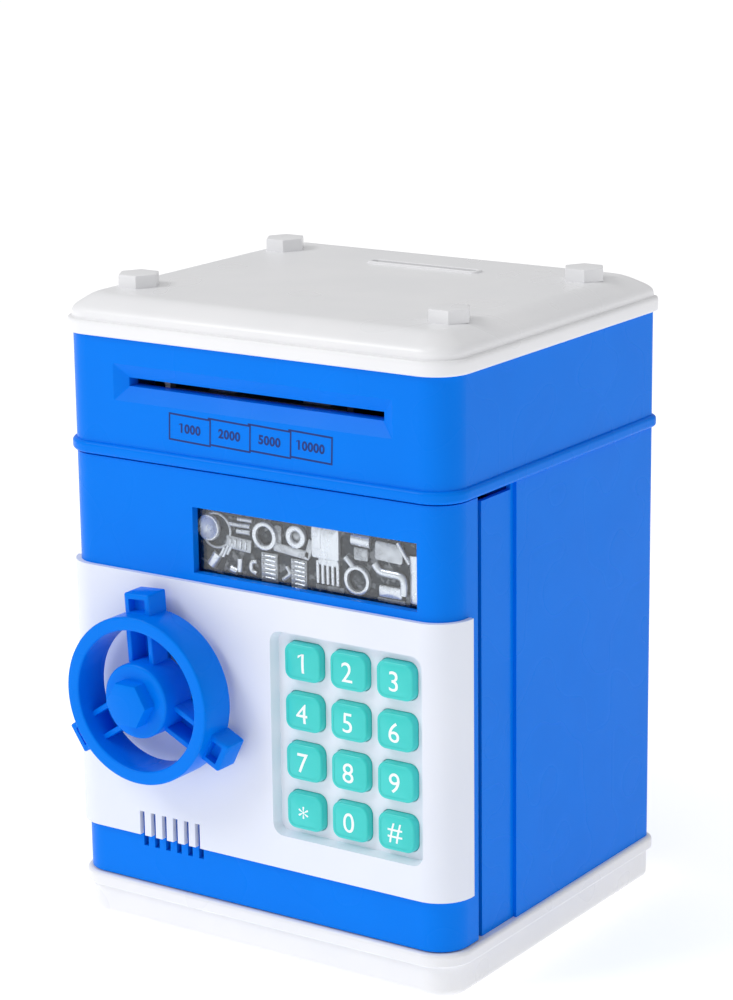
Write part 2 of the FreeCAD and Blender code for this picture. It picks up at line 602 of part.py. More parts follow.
# ---------------------------------------------------------------- front panel
panelZ = ("panelLow", "panelHigh")
panelOutside = doorForm(
    "panelOutside", "panelProud", "bodyWidth/2 + panelProud", f"{hingeY} + panelReturn", panelZ
)
panelInside = doorForm("panelInside", "0", "bodyWidth/2", f"{doorEndY} + 1", panelZ)
behindBarrel = block(
    "behindBarrel", (f"-{farX}", f"{hingeX} + frontRadius + panelProud + 1"),
    (f"{hingeY} - 0.34*frontRadius", f"{hingeY} + frontRadius + panelProud + 1"), panelZ,
)
panelSkin = cut("panelSkin", panelOutside, panelInside, behindBarrel)
tubBlock = block("tubBlock", tubX, (frontY, tubBack), tubZ)
keypadHollow = loft(
    "keypadHollow",
    frontSection("keypadFloorLine", keypadX, keypadZ, f"{panelY} + keypadDepth", "keyRadius", "-keypadDraft"),
    frontSection("keypadMouthLine", keypadX, keypadZ, panelY, "keyRadius + keypadDraft"),
)
keyNames = ["1", "2", "3", "4", "5", "6", "7", "8", "9", "star", "0", "hash"]
keySpots = [
    (f"keypadX + keyShift + {column - 1}*keyPitchX", f"keypadZ - {row - 1.5}*keyPitchZ")
    for row in range(4) for column in range(3)
]
floorFront = f"({panelY} + keypadDepth)"
holeY = (f"{tubBack} + 0.1", f"{floorFront} - 0.1")
holeRadii = ("keyRadius + keyGap",) * 4
keyHoles = []
for name, (x, z) in zip(keyNames, keySpots):
    holeX, holeZ = grown((x, x), "keyWidth/2 + keyGap"), grown((z, z), "keyHeight/2 + keyGap")
    keyHoles.append(slab(f"keyHole_{name}", holeX, holeZ, holeY, holeRadii, faceFront))
panelBody = cut("panelBody", fuse("panelBlank", panelSkin, tubBlock), keypadHollow)
stemWay = rod("stemWay", "shaftRadius + runningFit", stemStart, "panelProud + 1", alongY)
node("front_panel", cut("frontPanel", panelBody, stemWay, *grilleSlots("panelSlot"), *keyHoles))

# ---------------------------------------------------------------- keys
flangeFront = f"({tubBack} + keyBackGap)"
for name, (x, z) in zip(keyNames, keySpots):
    button = slab(
        f"keyCap_{name}", grown((x, x), "keyWidth/2"), grown((z, z), "keyHeight/2"),
        (f"{flangeFront} + 0.2", f"{panelY} + keyCrown"), ("keyRadius",) * 4, faceFront, rounded="keyEdge",
    )
    flange = slab(
        f"keyFlange_{name}", grown((x, x), "keyWidth/2 + keyFlange"),
        grown((z, z), "keyHeight/2 + keyFlange"),
        (f"{flangeFront} + keyFlangeThickness", flangeFront), ("keyRadius",) * 4, faceFront,
    )
    node(f"key_{name}", fuse(f"key{name.capitalize()}Body", button, flange))

membraneFront = f"({flangeFront} + keyFlangeThickness + keyTravel + domeHeight + 0.1)"
membraneBack = f"({membraneFront} + membraneThickness)"
sheetRubber = block(
    "membraneSheet", grown(keypadX, "-1"), (membraneFront, membraneBack), grown(keypadZ, "-1")
)
domes = [
    rod(f"dome_{name}", "domeRadius", (x, f"{membraneFront} - domeHeight", z), "domeHeight + 0.2", alongY)
    for name, (x, z) in zip(keyNames, keySpots)
]
node("key_membrane", fuse("keyMembrane", sheetRubber, *domes))
boardBack = f"({membraneBack} + boardThickness)"
board = block("boardSheet", grown(keypadX, "2"), (membraneBack, boardBack), grown(keypadZ, "1.5"))
chipY = (boardBack, f"{boardBack} + 1")
chips = [
    block("chipMain", ("keypadX - 16", "keypadX - 6"), chipY, ("keypadZ + 18", "keypadZ + 26")),
    block("chipSmall", ("keypadX + 4", "keypadX + 9"), chipY, ("keypadZ + 19", "keypadZ + 24")),
]
node("main_board", fuse("mainBoard", board, *chips))

# ---------------------------------------------------------------- window and speaker
lensX, lensZ = grown(windowX, "windowLap"), grown(windowZ, "windowLap - 0.4")
lensBack = f"({innerY} + lensThickness)"
node("window_lens", block("windowLens", lensX, (innerY, lensBack), lensZ))
reliefFront = f"({lensBack} + 0.2)"
reliefFloor = f"({reliefFront} + reliefThickness - 1)"
reliefPlate = block("reliefPlate", lensX, (reliefFloor, f"{reliefFloor} + 1"), lensZ)
reliefLeft = windowX[0]


def reliefRing(label, x, z, outer, inner):
    at = (f"{reliefLeft} + {x}", reliefFront, f"windowZ + {z}")
    return ring(label, outer, inner, at, f"{reliefFloor} - {reliefFront} + 0.2", alongY)


def reliefBlock(label, x, z, width, height, depth):
    """A raised block of the relief, given by its middle from the window's left edge and mid-height."""
    across = grown((f"{reliefLeft} + {x}",) * 2, width / 2)
    upright = grown((f"windowZ + {z}",) * 2, height / 2)
    return block(label, across, (f"{reliefFloor} - {depth}", f"{reliefFloor} + 0.2"), upright)


reliefPieces = [
    rod("reliefDisc", "4.6", (f"{reliefLeft} + 5", f"{reliefFloor} - 1.4", "windowZ + 4.4"), "1.5", alongY),
    reliefRing("reliefRingA", 24.5, 5.6, 3.6, 1.9),
    reliefRing("reliefRingB", 35.0, 6.4, 2.7, 1.4),
    reliefRing("reliefRingC", 56.0, -5.6, 4.1, 2.7),
    reliefBlock("reliefSlotted", 17.5, 1.0, 8.0, 4.6, 1.2),
    reliefBlock("reliefColumnA", 25.0, -5.0, 5.0, 8.4, 0.9),
    reliefBlock("reliefColumnB", 34.5, -4.4, 5.4, 9.6, 1.2),
    reliefBlock("reliefHousing", 45.5, 3.2, 9.6, 10.0, 1.4),
    reliefBlock("reliefBase", 46.0, -6.4, 10.0, 4.8, 0.8),
    reliefBlock("reliefTube", 66.5, 2.6, 11.0, 3.4, 1.3),
    reliefBlock("reliefFoot", 66.0, -5.6, 9.0, 5.0, 1.0),
]
node("window_relief", fuse("windowRelief", reliefPlate, *reliefPieces))

speakerAt = ("grilleX", innerY, "(grilleLow + grilleHigh)/2")
speakerRim = rod("speakerRim", "speakerRadius", speakerAt, "2", alongY)
speakerMagnet = rod("speakerMagnet", "speakerRadius*0.55", speakerAt, "speakerDepth", alongY)
speakerCone = doc.addObject("Part::Cone", "speakerCone")
bind(speakerCone, "Radius1", "speakerRadius - 1.5")
bind(speakerCone, "Radius2", "speakerRadius*0.3")
bind(speakerCone, "Height", "1.4")
place(speakerCone, speakerAt, alongY)
node("speaker", cut("speakerBody", fuse("speakerSolid", speakerRim, speakerMagnet), speakerCone))

# ---------------------------------------------------------------- handwheel, shaft and pinion
wheelFront = f"({panelY} - knobFront)"
wheelBack = f"({panelY} - knobGap)"
wheelAt = ("knobX", wheelFront, "knobZ")
wheelDepth = f"({wheelBack} - {wheelFront})"
rim = ring("wheelRim", "knobRadius", "knobRadius - knobBand", wheelAt, wheelDepth, alongY)
hub = rod("wheelHub", "hubRadius", wheelAt, wheelDepth, alongY)
stem = rod("wheelStem", "stemRadius", wheelAt, f"{panelY} - 0.3 - {wheelFront}", alongY)
hexBoss = doc.addObject("Part::Prism", "wheelHex")
hexBoss.Polygon = 6
bind(hexBoss, "Circumradius", "hexAcross/2")
bind(hexBoss, "Height", "hexHeight + 1")
place(hexBoss, ("knobX", f"{wheelFront} + 1", "knobZ"), faceFront)


def spoke(label, angle):
    """A hollow lug outside the rim and an open-fronted U-shaped spoke inside it, turned about the shaft."""
    lugFront = f"({wheelFront} + lugSetback)"
    half = "lugWidth/2"
    armHalf = "spokeWidth/2"
    reach = "knobRadius - knobBand/2"
    lug = block(label + "Lug", (f"-{half}", half), (lugFront, f"{lugFront} + lugDepth"), (reach, "lugReach"))
    lugHole = block(
        label + "LugHole", (f"-{half} + ribWall", f"{half} - ribWall"), (lugFront, f"{lugFront} + lugPocket"),
        ("knobRadius + 0.3", "lugReach - ribWall"),
    )
    arm = block(
        label + "Arm", (f"-{armHalf}", armHalf), (f"{wheelFront} + spokeSetback", wheelBack),
        ("hubRadius - 1", reach),
    )
    armHole = block(
        label + "ArmHole", (f"-{armHalf} + ribWall", f"{armHalf} - ribWall"),
        (f"{wheelFront} + spokeSetback", f"{wheelBack} - ribWall"), ("hubRadius", "knobRadius - knobBand"),
    )
    piece = fuse(label, cut(label + "LugShell", lug, lugHole), cut(label + "ArmShell", arm, armHole))
    return place(piece, ("knobX", "0", "knobZ"), Rotation(Vector(0, 1, 0), angle + value("wheelTurn")))


spokes = [spoke(f"spoke{index}", index * 120) for index in range(3)]
shaftBack = f"({lockFront} + lockThick + 0.6)"
shaftFront = f"({wheelFront} + 3)"
shaftAt = ("knobX", shaftFront, "knobZ")
wheelBore = rod("wheelBore", "shaftRadius", shaftAt, f"{panelY} - {shaftFront}", alongY)
node("knob", cut("knobWheel", fuse("wheelSolid", rim, hub, stem, hexBoss, *spokes), wheelBore))
node("knob_shaft", rod("knobShaft", "shaftRadius", shaftAt, f"{shaftBack} - {shaftFront}", alongY))
clipAt = ("knobX", f"{innerY} + 0.4", "knobZ")
node("shaft_clip", ring("shaftClip", "shaftRadius + 2", "shaftRadius", clipAt, "0.8", alongY))


def gearWire(teeth, module, backlash, phase, pressure=25.0):
    """One closed outline of an involute spur gear about the origin, thinned by the backlash.

    Each flank is the involute of the base circle, x = b(cos t + t sin t), y = b(sin t - t cos t),
    from the root to the tip; chords of a convex curve stay inside the tooth.
    """
    alpha = math.radians(pressure)
    pitch = module * teeth / 2
    base = pitch * math.cos(alpha)
    tip = pitch + 0.75 * module
    root = pitch - module
    halfTooth = math.pi / (2 * teeth) - backlash / (2 * pitch)
    involute = math.tan(alpha) - alpha
    points = []
    for tooth in range(int(teeth)):
        middle = math.radians(phase) + 2 * math.pi * tooth / teeth
        flank = []
        for step in range(7):
            radius = max(base, root) + (tip - max(base, root)) * step / 6
            angle = math.acos(min(1.0, base / radius))
            flank.append((radius, halfTooth + involute - (math.tan(angle) - angle)))
        if root < base:
            flank.insert(0, (root, flank[0][1]))
        points += [(radius, middle - half) for radius, half in flank]
        points += [(radius, middle + half) for radius, half in reversed(flank)]
    corners = [Vector(radius * math.cos(turn), radius * math.sin(turn), 0) for radius, turn in points]
    return Part.makePolygon(corners + corners[:1])


def gear(label, teeth, module, bore, width, phase=0.0, backlash=0.1):
    """A spur gear standing along +Z from the origin, its first tooth at a phase in degrees."""
    face = Part.Face(gearWire(value(teeth), value(module), backlash, phase))
    solid = face.extrude(Vector(0, 0, value(width)))
    feature = doc.addObject("Part::Feature", label)
    feature.Shape = solid.cut(Part.makeCylinder(value(bore), value(width)))
    return feature


# A tooth of the pinion points straight up into a gap of the bolt's rack.
pinion = gear("lockPinion", "pinionTeeth", "gearModule", "shaftRadius", "lockThick", phase=90.0)
place(pinion, ("knobX", f"{lockFront} + lockThick", "knobZ"), faceFront)
node("lock_pinion", pinion)

# ---------------------------------------------------------------- sliding bolt
barY = (lockFront, f"{lockFront} + lockThick")
barBlank = block("barBlank", ("boltTail", "boltTip"), barY, (barLow, barTop))
notches = [
    block(
        f"barNotch{index}", (f"plungerX - notchHalf - {shift}", f"plungerX + notchHalf - {shift}"),
        (f"{lockFront} - 1", f"{lockFront} + lockThick + 1"), (f"{barTop} - notchDepth", f"{barTop} + 1"),
    )
    for index, shift in enumerate(("0", boltTravel))
]


def rackTeeth(label, count, backlash=0.1, pressure=25.0):
    """Straight-sided teeth that hang from the bar, with a gap over the pinion's middle."""
    module = value("gearModule")
    pitch = math.pi * module
    slope = math.tan(math.radians(pressure))
    addendum = 0.75 * module
    half = pitch / 4 - backlash / 2
    top = module + 0.2
    corners = [
        (-half - top * slope, top), (half + top * slope, top), (half - addendum * slope, -addendum),
        (-half + addendum * slope, -addendum),
    ]
    tooth = Part.Face(Part.makePolygon([Vector(x, 0, z) for x, z in corners + corners[:1]]))
    solid = tooth.extrude(Vector(0, value("lockThick"), 0))
    shapes = [solid.translated(Vector((index - count / 2 + 0.5) * pitch, 0, 0)) for index in range(count)]
    feature = doc.addObject("Part::Feature", label)
    feature.Shape = Part.makeCompound(shapes)
    return place(feature, ("knobX", lockFront, rackPitchZ))


# The pinion meets the rack from x = knobX back to knobX - travel, so the teeth reach a little past both.
teeth = rackTeeth("boltTeeth", 8)
node("lock_bolt", fuse("lockBolt", cut("barNotched", barBlank, *notches), teeth))
barWay = (grown(barY, "boltPlay"), grown((barLow, barTop), "boltPlay"))
guides = []
for index, low in enumerate(("guideLeft", "guideRight")):
    guideX = (low, f"{low} + guideWidth")
    guideBlock = block(
        f"guide{index}", guideX, (f"{lockFront} - 2.4", coverInnerY), (f"{barLow} - 3", f"{barTop} + 3")
    )
    guides.append(cut(f"boltGuide{index}", guideBlock, block(f"guideWay{index}", guideX, *barWay)))
node("bolt_guides", group("boltGuides", *guides))

# ---------------------------------------------------------------- solenoid and its plunger
solenoidLow = f"({barTop} + plungerTravel + 1.2)"
solenoidBlock = block(
    "solenoidBlock", grown(("plungerX", "plungerX"), "solenoidWidth/2"), ("lockY - 5.5", coverInnerY),
    (solenoidLow, f"{solenoidLow} + solenoidHeight"),
)
plungerTip = f"({barTop} + 0.4)"
plungerAt = ("plungerX", "lockY", plungerTip)
solenoidBore = rod(
    "solenoidBore", "plungerRadius + runningFit", ("plungerX", "lockY", solenoidLow), "solenoidBoreDepth"
)
node("solenoid", cut("solenoidBody", solenoidBlock, solenoidBore))
node("solenoid_plunger", rod("solenoidPlunger", "plungerRadius", plungerAt, "plungerLength"))

# ---------------------------------------------------------------- inner cover, battery box and cells
coverX, coverZ = ("coverLeft", "coverRight"), ("coverLow", "coverHigh")
coverBlock = slab("coverBlock", coverX, coverZ, ("coverBack", "coverFront"), ("2.5",) * 4, faceFront)
coverHollow = slab(
    "coverHollow", grown(coverX, "-coverWall"), grown(coverZ, "-coverWall"),
    (coverInnerY, "coverFront - 1"), ("0.9",) * 4, faceFront,
)
batteryX = ("cellX - cellLength/2 - contactGap", "cellX + cellLength/2 + contactGap")
batteryZ = ("cellZ - 1.5*cellPitch", "cellZ + 1.5*cellPitch")
lidWindow = block("lidWindow", batteryX, (f"{coverInnerY} - 0.1", "coverBack + 0.1"), batteryZ)
tipWay = block("tipWay", ("coverRight - coverWall - 0.1", "coverRight + 0.1"), *barWay)
coverScrewHoles = []
coverScrews = []
for index, (x, z) in enumerate(coverSpots):
    coverScrewHoles.append(rod(f"coverHole{index}", "pilot", (x, coverInnerY, z), "coverPlate", alongY))
    coverScrewHoles.append(rod(f"coverSink{index}", "screwPost", (x, "coverBack - 1.2", z), "1.3", alongY))
    screwHead = rod(f"coverScrewHead{index}", "screwPost - 0.2", (x, "coverBack - 1.2", z), "1.1", alongY)
    screwShank = rod(f"coverScrewShank{index}", "pilot", (x, "coverBack - 9.5", z), "9", alongY)
    coverScrews.append(fuse(f"coverScrew{index}", screwHead, screwShank))
node("inner_cover", cut("innerCover", coverBlock, coverHollow, lidWindow, tipWay, *coverScrewHoles))
node("cover_screws", group("coverScrews", *coverScrews))

cellY = f"({coverInnerY} - cellRadius - 0.6)"
batteryY = (f"{cellY} - cellRadius - 0.4", coverInnerY)
batteryOuter = block(
    "batteryOuter", grown(batteryX, "boxWall"), (f"{batteryY[0]} - boxWall", coverInnerY),
    grown(batteryZ, "boxWall"),
)
batteryInner = block("batteryInner", batteryX, (batteryY[0], f"{coverInnerY} + 1"), batteryZ)
node("battery_box", cut("batteryBox", batteryOuter, batteryInner))
cells = []
contacts = []
for index in range(3):
    cellHeight = f"cellZ + {index - 1}*cellPitch"
    start = ("cellX - cellLength/2", cellY, cellHeight)
    can = rod(f"cellCan{index}", "cellRadius", start, "cellLength - 1.5", alongX)
    nipple = rod(f"cellNipple{index}", "2.6", start, "cellLength", alongX)
    cells.append(fuse(f"cell{index}", can, nipple))
    for end, edge in (("Left", batteryX[0]), ("Right", f"{batteryX[1]} - 0.5")):
        plate = block(
            f"contactPlate{end}{index}", (edge, f"{edge} + 0.5"), grown((cellY, cellY), "5"),
            grown((cellHeight, cellHeight), "5.5"),
        )
        nib = rod(
            f"contactNib{end}{index}", "2",
            (edge if end == "Left" else "cellX + cellLength/2", cellY, cellHeight), "contactGap", alongX,
        )
        contacts.append(fuse(f"contact{end}{index}", plate, nib))
node("battery_cells", group("batteryCells", *cells))
node("battery_contacts", group("batteryContacts", *contacts))
node("battery_cover", block("batteryCover", batteryX, (coverInnerY, "coverBack"), batteryZ))

# ---------------------------------------------------------------- bill feeder
feedZ = "(slotZ - billGap/2 - feedRadius)"
pressZ = "(slotZ + billGap/2 + pressRadius)"
trainRadius = "(trainModule*(feedTeeth + smallTeeth)/2)"
motorSpan = "(trainModule*(bigTeeth + smallTeeth)/2)"
trainRise = 20.0
idlerY = f"(feedY + {trainRadius}*cos({trainRise}))"
idlerZ = f"({feedZ} + {trainRadius}*sin({trainRise}))"
motorY = f"({idlerY} + {motorSpan})"
innerPlaneX = "(-frameX - framePlate/2 - gearGap - gearFace)"
outerPlaneX = f"({innerPlaneX} - gearGap - gearFace)"
frameLeft = "-frameX - framePlate/2"
motorFace = "(motorPlateX - motorPlate/2)"
plateZ = (headFloor, "slotZ + 10")
plateY = (f"{innerY} + bezelPad + 0.1", "feedY + 12")
leftPlate = block("leftPlate", (frameLeft, "-frameX + framePlate/2"), plateY, plateZ)
rightPlate = block("rightPlate", ("frameX - framePlate/2", "frameX + framePlate/2"), plateY, plateZ)
frameFoot = block("frameFoot", ("-frameX", "frameX"), plateY, (headFloor, f"{headFloor} + 1.6"))
motorPlate = block(
    "motorPlateSheet", (motorFace, "motorPlateX + motorPlate/2"), (f"{idlerY} - 5", f"{motorY} + 7"), plateZ
)
plateTie = block(
    "plateTie", (motorFace, "-frameX"), (f"{plateY[1]} - 4", plateY[1]), (headFloor, f"{headFloor} + 6")
)
frameLength = "2*frameX + framePlate"
idlerAt = (motorFace, idlerY, idlerZ)
pinLength = f"(-frameX + framePlate/2 - {motorFace})"
feedHole = rod("feedHole", "feedShaft + runningFit", (frameLeft, "feedY", feedZ), frameLength, alongX)
pressHole = rod("pressHole", "pressShaft + runningFit", (frameLeft, "feedY", pressZ), frameLength, alongX)
idlerHole = rod("idlerHole", "idlerPin", idlerAt, f"{pinLength} + 1", alongX)
motorHole = rod("motorHole", "motorNose", (motorFace, motorY, idlerZ), "motorPlate", alongX)
frameSolid = fuse("frameSolid", leftPlate, rightPlate, frameFoot, motorPlate, plateTie)
node("feeder_frame", cut("feederFrame", frameSolid, feedHole, pressHole, idlerHole, motorHole))
node("idler_pin", rod("idlerPinRod", "idlerPin", idlerAt, pinLength, alongX))

guideTop = "(slotZ - slotHeight/2 + 0.2)"
guideSheet = block(
    "guideSheet", ("-frameX + framePlate/2", "frameX - framePlate/2"), (plateY[0], "feedY + 11"),
    (f"{guideTop} - 1", guideTop),
)
rollerWays = [
    block(
        f"rollerWay{side}", grown((f"{side}*rollerX", f"{side}*rollerX"), "rollerWidth/2 + 0.8"),
        grown(("feedY", "feedY"), "feedRadius + 0.6"), (f"{guideTop} - 2", f"{guideTop} + 1"),
    )
    for side in (-1, 1)
]
node("bill_guide", cut("billGuide", guideSheet, *rollerWays))
sensorZ = ("slotZ + slotHeight/2 + 0.6", "slotZ + 6.5")
node("bill_sensor", block("billSensor", ("-4", "4"), (plateY[0], f"{plateY[0]} + 5"), sensorZ))


def rollers(label, radius, bore, z):
    """Two rubber rollers pressed on one shaft, side by side."""
    pair = []
    for side in (-1, 1):
        start = (f"{side}*rollerX - rollerWidth/2", "feedY", z)
        pair.append(ring(f"{label}{side}", radius, bore, start, "rollerWidth", alongX))
    return group(label, *pair)


feedEnd = f"({innerPlaneX} - 0.3)"
feedLength = f"frameX + framePlate/2 + 1 - {feedEnd}"
node("feed_shaft", rod("feedShaftRod", "feedShaft", (feedEnd, "feedY", feedZ), feedLength, alongX))
node("feed_rollers", rollers("feedRoller", "feedRadius", "feedShaft", feedZ))
pressAt = ("-frameX - 1.5", "feedY", pressZ)
node("press_shaft", rod("pressShaftRod", "pressShaft", pressAt, "2*frameX + 3", alongX))
node("press_rollers", rollers("pressRoller", "pressRadius", "pressShaft", pressZ))

# Local +X of a gear that runs along +X points down: angles are measured from straight down towards +Y.
feedToIdler = 90.0 + trainRise
halfTooth = {name: 180.0 / value(name) for name in ("feedTeeth", "smallTeeth", "bigTeeth")}
feedGear = gear("feedGear", "feedTeeth", "trainModule", "feedShaft", "gearFace", feedToIdler)
place(feedGear, (innerPlaneX, "feedY", feedZ), alongX)
node("feed_gear", feedGear)
smallGear = gear(
    "idlerSmall", "smallTeeth", "trainModule", "idlerPin + runningFit", "gearFace + gearGap",
    feedToIdler + 180.0 + halfTooth["smallTeeth"],
)
place(smallGear, (f"{innerPlaneX} - gearGap", idlerY, idlerZ), alongX)
bigGear = gear("idlerBig", "bigTeeth", "trainModule", "idlerPin + runningFit", "gearFace", 90.0)
place(bigGear, (outerPlaneX, idlerY, idlerZ), alongX)
node("idler_gear", fuse("idlerGear", smallGear, bigGear))
motorGear = gear(
    "motorGear", "smallTeeth", "trainModule", "motorShaftRadius", "gearFace",
    270.0 + halfTooth["smallTeeth"],
)
place(motorGear, (outerPlaneX, motorY, idlerZ), alongX)
node("motor_pinion", motorGear)
motorEnd = (f"{motorFace} - motorLength", motorY, idlerZ)
motorCan = rod("motorCan", "motorRadius", motorEnd, "motorLength", alongX)
motorBoss = rod("motorBoss", "motorNose", (motorFace, motorY, idlerZ), "1.2", alongX)
boreAt = (f"{motorFace} - 8", motorY, idlerZ)
motorBore = rod("motorBore", "motorShaftRadius + runningFit", boreAt, "10", alongX)
node("feed_motor", cut("feedMotor", fuse("motorSolid", motorCan, motorBoss), motorBore))
shaftStart = f"({motorFace} - 7.5)"
shaftLength = f"{outerPlaneX} + gearFace - {shaftStart}"
node("motor_shaft", rod("motorShaft", "motorShaftRadius", (shaftStart, motorY, idlerZ), shaftLength, alongX))

# ---------------------------------------------------------------- check and write
doc.recompute()
for thing in doc.Objects:
    if "Invalid" in thing.State or "Error" in thing.State:
        raise RuntimeError(f"{thing.Name} failed: {thing.State}")
for piece in nodes:
    if piece.Shape.isNull() or not piece.Shape.isValid():
        raise RuntimeError(f"{piece.Label} has no valid shape")
os.makedirs("parts", exist_ok=True)
for piece in nodes:
    piece.Shape.exportStep(f"parts/{piece.Label}.step")
print(len(nodes), "parts written")
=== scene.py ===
# Toy ATM savings bank: the CAD parts finished as moulded plastic, rubber, plated trim and printed numbers.
import json
import math

import bmesh
import bpy
import numpy as np
from mathutils import Matrix, Vector

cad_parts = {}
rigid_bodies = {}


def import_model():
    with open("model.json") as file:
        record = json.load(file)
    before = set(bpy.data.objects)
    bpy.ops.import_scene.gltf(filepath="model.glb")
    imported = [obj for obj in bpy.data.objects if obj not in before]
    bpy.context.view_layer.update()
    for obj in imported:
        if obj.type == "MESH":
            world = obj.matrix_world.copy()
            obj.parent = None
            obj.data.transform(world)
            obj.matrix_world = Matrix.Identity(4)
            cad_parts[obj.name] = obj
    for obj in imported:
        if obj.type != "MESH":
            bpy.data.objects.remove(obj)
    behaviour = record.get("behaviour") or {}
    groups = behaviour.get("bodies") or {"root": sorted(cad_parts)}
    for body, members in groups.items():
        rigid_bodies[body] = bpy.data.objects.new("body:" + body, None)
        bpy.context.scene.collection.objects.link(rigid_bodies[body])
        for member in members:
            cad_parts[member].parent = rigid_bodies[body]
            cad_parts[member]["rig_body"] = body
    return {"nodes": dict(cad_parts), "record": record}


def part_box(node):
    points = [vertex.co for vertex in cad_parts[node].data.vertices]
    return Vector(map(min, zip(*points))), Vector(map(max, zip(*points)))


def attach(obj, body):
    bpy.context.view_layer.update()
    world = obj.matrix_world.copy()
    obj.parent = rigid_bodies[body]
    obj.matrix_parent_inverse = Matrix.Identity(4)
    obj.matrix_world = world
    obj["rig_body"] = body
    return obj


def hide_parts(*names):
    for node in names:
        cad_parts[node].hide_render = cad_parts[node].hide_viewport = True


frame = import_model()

for leftover in [thing for thing in bpy.data.objects if thing.name in ("Cube", "Light", "Camera")]:
    bpy.data.objects.remove(leftover, do_unlink=True)
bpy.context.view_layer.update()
print("frame loaded:", len(frame["nodes"]), "parts")

mm = 0.001  # shapes are worked out in millimetres and stored in metres


# the view: place in millimetres, angles in degrees, clipping distances in metres
view = {
    "place": (467.74, -689.60, 335.17), "azimuth": 34.105, "elevation": 14.367, "roll": -0.705,
    "lens": 106.28, "clip": (0.02, 20.0),
}


def aimCamera(settings):
    # three unit vectors from azimuth, elevation and roll make the camera's own axes
    turn, lift, roll = (math.radians(settings[key]) for key in ("azimuth", "elevation", "roll"))
    back = Vector((math.sin(turn) * math.cos(lift), -math.cos(turn) * math.cos(lift), math.sin(lift)))
    right = Vector((math.cos(turn), math.sin(turn), 0))
    up = back.cross(right)
    rolledRight = math.cos(roll) * right + math.sin(roll) * up
    rolledUp = math.cos(roll) * up - math.sin(roll) * right
    data = bpy.data.cameras.new("camera")
    data.lens = settings["lens"]
    data.clip_start, data.clip_end = settings["clip"]
    camera = bpy.data.objects.new("camera", data)
    axes = Matrix((rolledRight, rolledUp, back)).transposed().to_4x4()
    camera.matrix_world = Matrix.Translation(Vector(settings["place"]) * mm) @ axes
    bpy.context.scene.collection.objects.link(camera)
    bpy.context.scene.camera = camera


aimCamera(view)


# materials
def hexColour(code):
    # sRGB hex to linear RGBA
    channel = np.array([int(code[start:start + 2], 16) for start in (1, 3, 5)]) / 255
    linear = np.where(channel <= 0.04045, channel / 12.92, ((channel + 0.055) / 1.055) ** 2.4)
    return (*linear.tolist(), 1.0)


def addNode(tree, kind, settings=None, links=None):
    # settings go to the node's own properties or to its sockets, links feed its sockets
    added = tree.nodes.new(kind)
    for key, setting in (settings or {}).items():
        if isinstance(key, str) and hasattr(added, key):
            setattr(added, key, setting)
        else:
            added.inputs[key].default_value = setting
    for key, source in (links or {}).items():
        tree.links.new(source, added.inputs[key])
    return added


def startMaterial(name):
    material = bpy.data.materials.new(name)
    material.use_nodes = True
    tree = material.node_tree
    tree.nodes.clear()
    place = addNode(tree, "ShaderNodeTexCoord").outputs["Object"]
    return material, tree, place


def finishMaterial(tree, shader):
    addNode(tree, "ShaderNodeOutputMaterial", links={"Surface": shader.outputs[0]})


def perMetre(size):
    # texture scale whose features are about this many millimetres across
    return 1 / (size * mm)


# a soft step over the middle of a noise's range
softStep = {"interpolation_type": "SMOOTHSTEP", "From Min": 0.2, "From Max": 0.8}


def moulded(name, colour, shade, roughness, specular, grain=0.5, bump=0.06, flow=22.0, flowAmount=0.5):
    # injection-moulded plastic: cloudy flow colour, spark-eroded grain, slow sink waves and uneven gloss
    material, tree, place = startMaterial(name)
    flowNoise = addNode(
        tree, "ShaderNodeTexNoise", {"Scale": perMetre(flow), "Detail": 3.0}, {"Vector": place}
    )
    flowMix = addNode(
        tree, "ShaderNodeMapRange", {**softStep, "To Max": flowAmount}, {"Value": flowNoise.outputs["Fac"]}
    )
    tint = addNode(
        tree, "ShaderNodeMix", {"data_type": "RGBA", 6: hexColour(colour), 7: hexColour(shade)},
        {0: flowMix.outputs["Result"]},
    )
    grainNoise = addNode(
        tree, "ShaderNodeTexNoise", {"Scale": perMetre(grain), "Detail": 2.0, "Roughness": 0.6},
        {"Vector": place},
    )
    sink = addNode(tree, "ShaderNodeTexNoise", {"Scale": perMetre(16.0), "Detail": 0.0}, {"Vector": place})
    gloss = addNode(
        tree, "ShaderNodeMapRange", {**softStep, "To Min": roughness - 0.03, "To Max": roughness + 0.04},
        {"Value": sink.outputs["Fac"]},
    )
    sparks = addNode(
        tree, "ShaderNodeBump", {"Strength": bump, "Distance": 0.05 * mm},
        {"Height": grainNoise.outputs["Fac"]},
    )
    waves = addNode(
        tree, "ShaderNodeBump", {"Strength": 0.03, "Distance": 0.2 * mm},
        {"Height": sink.outputs["Fac"], "Normal": sparks.outputs["Normal"]},
    )
    shader = addNode(
        tree, "ShaderNodeBsdfPrincipled", {"IOR": 1.53, "Specular IOR Level": specular},
        {"Base Color": tint.outputs[2], "Roughness": gloss.outputs["Result"],
         "Normal": waves.outputs["Normal"]},
    )
    finishMaterial(tree, shader)
    return material


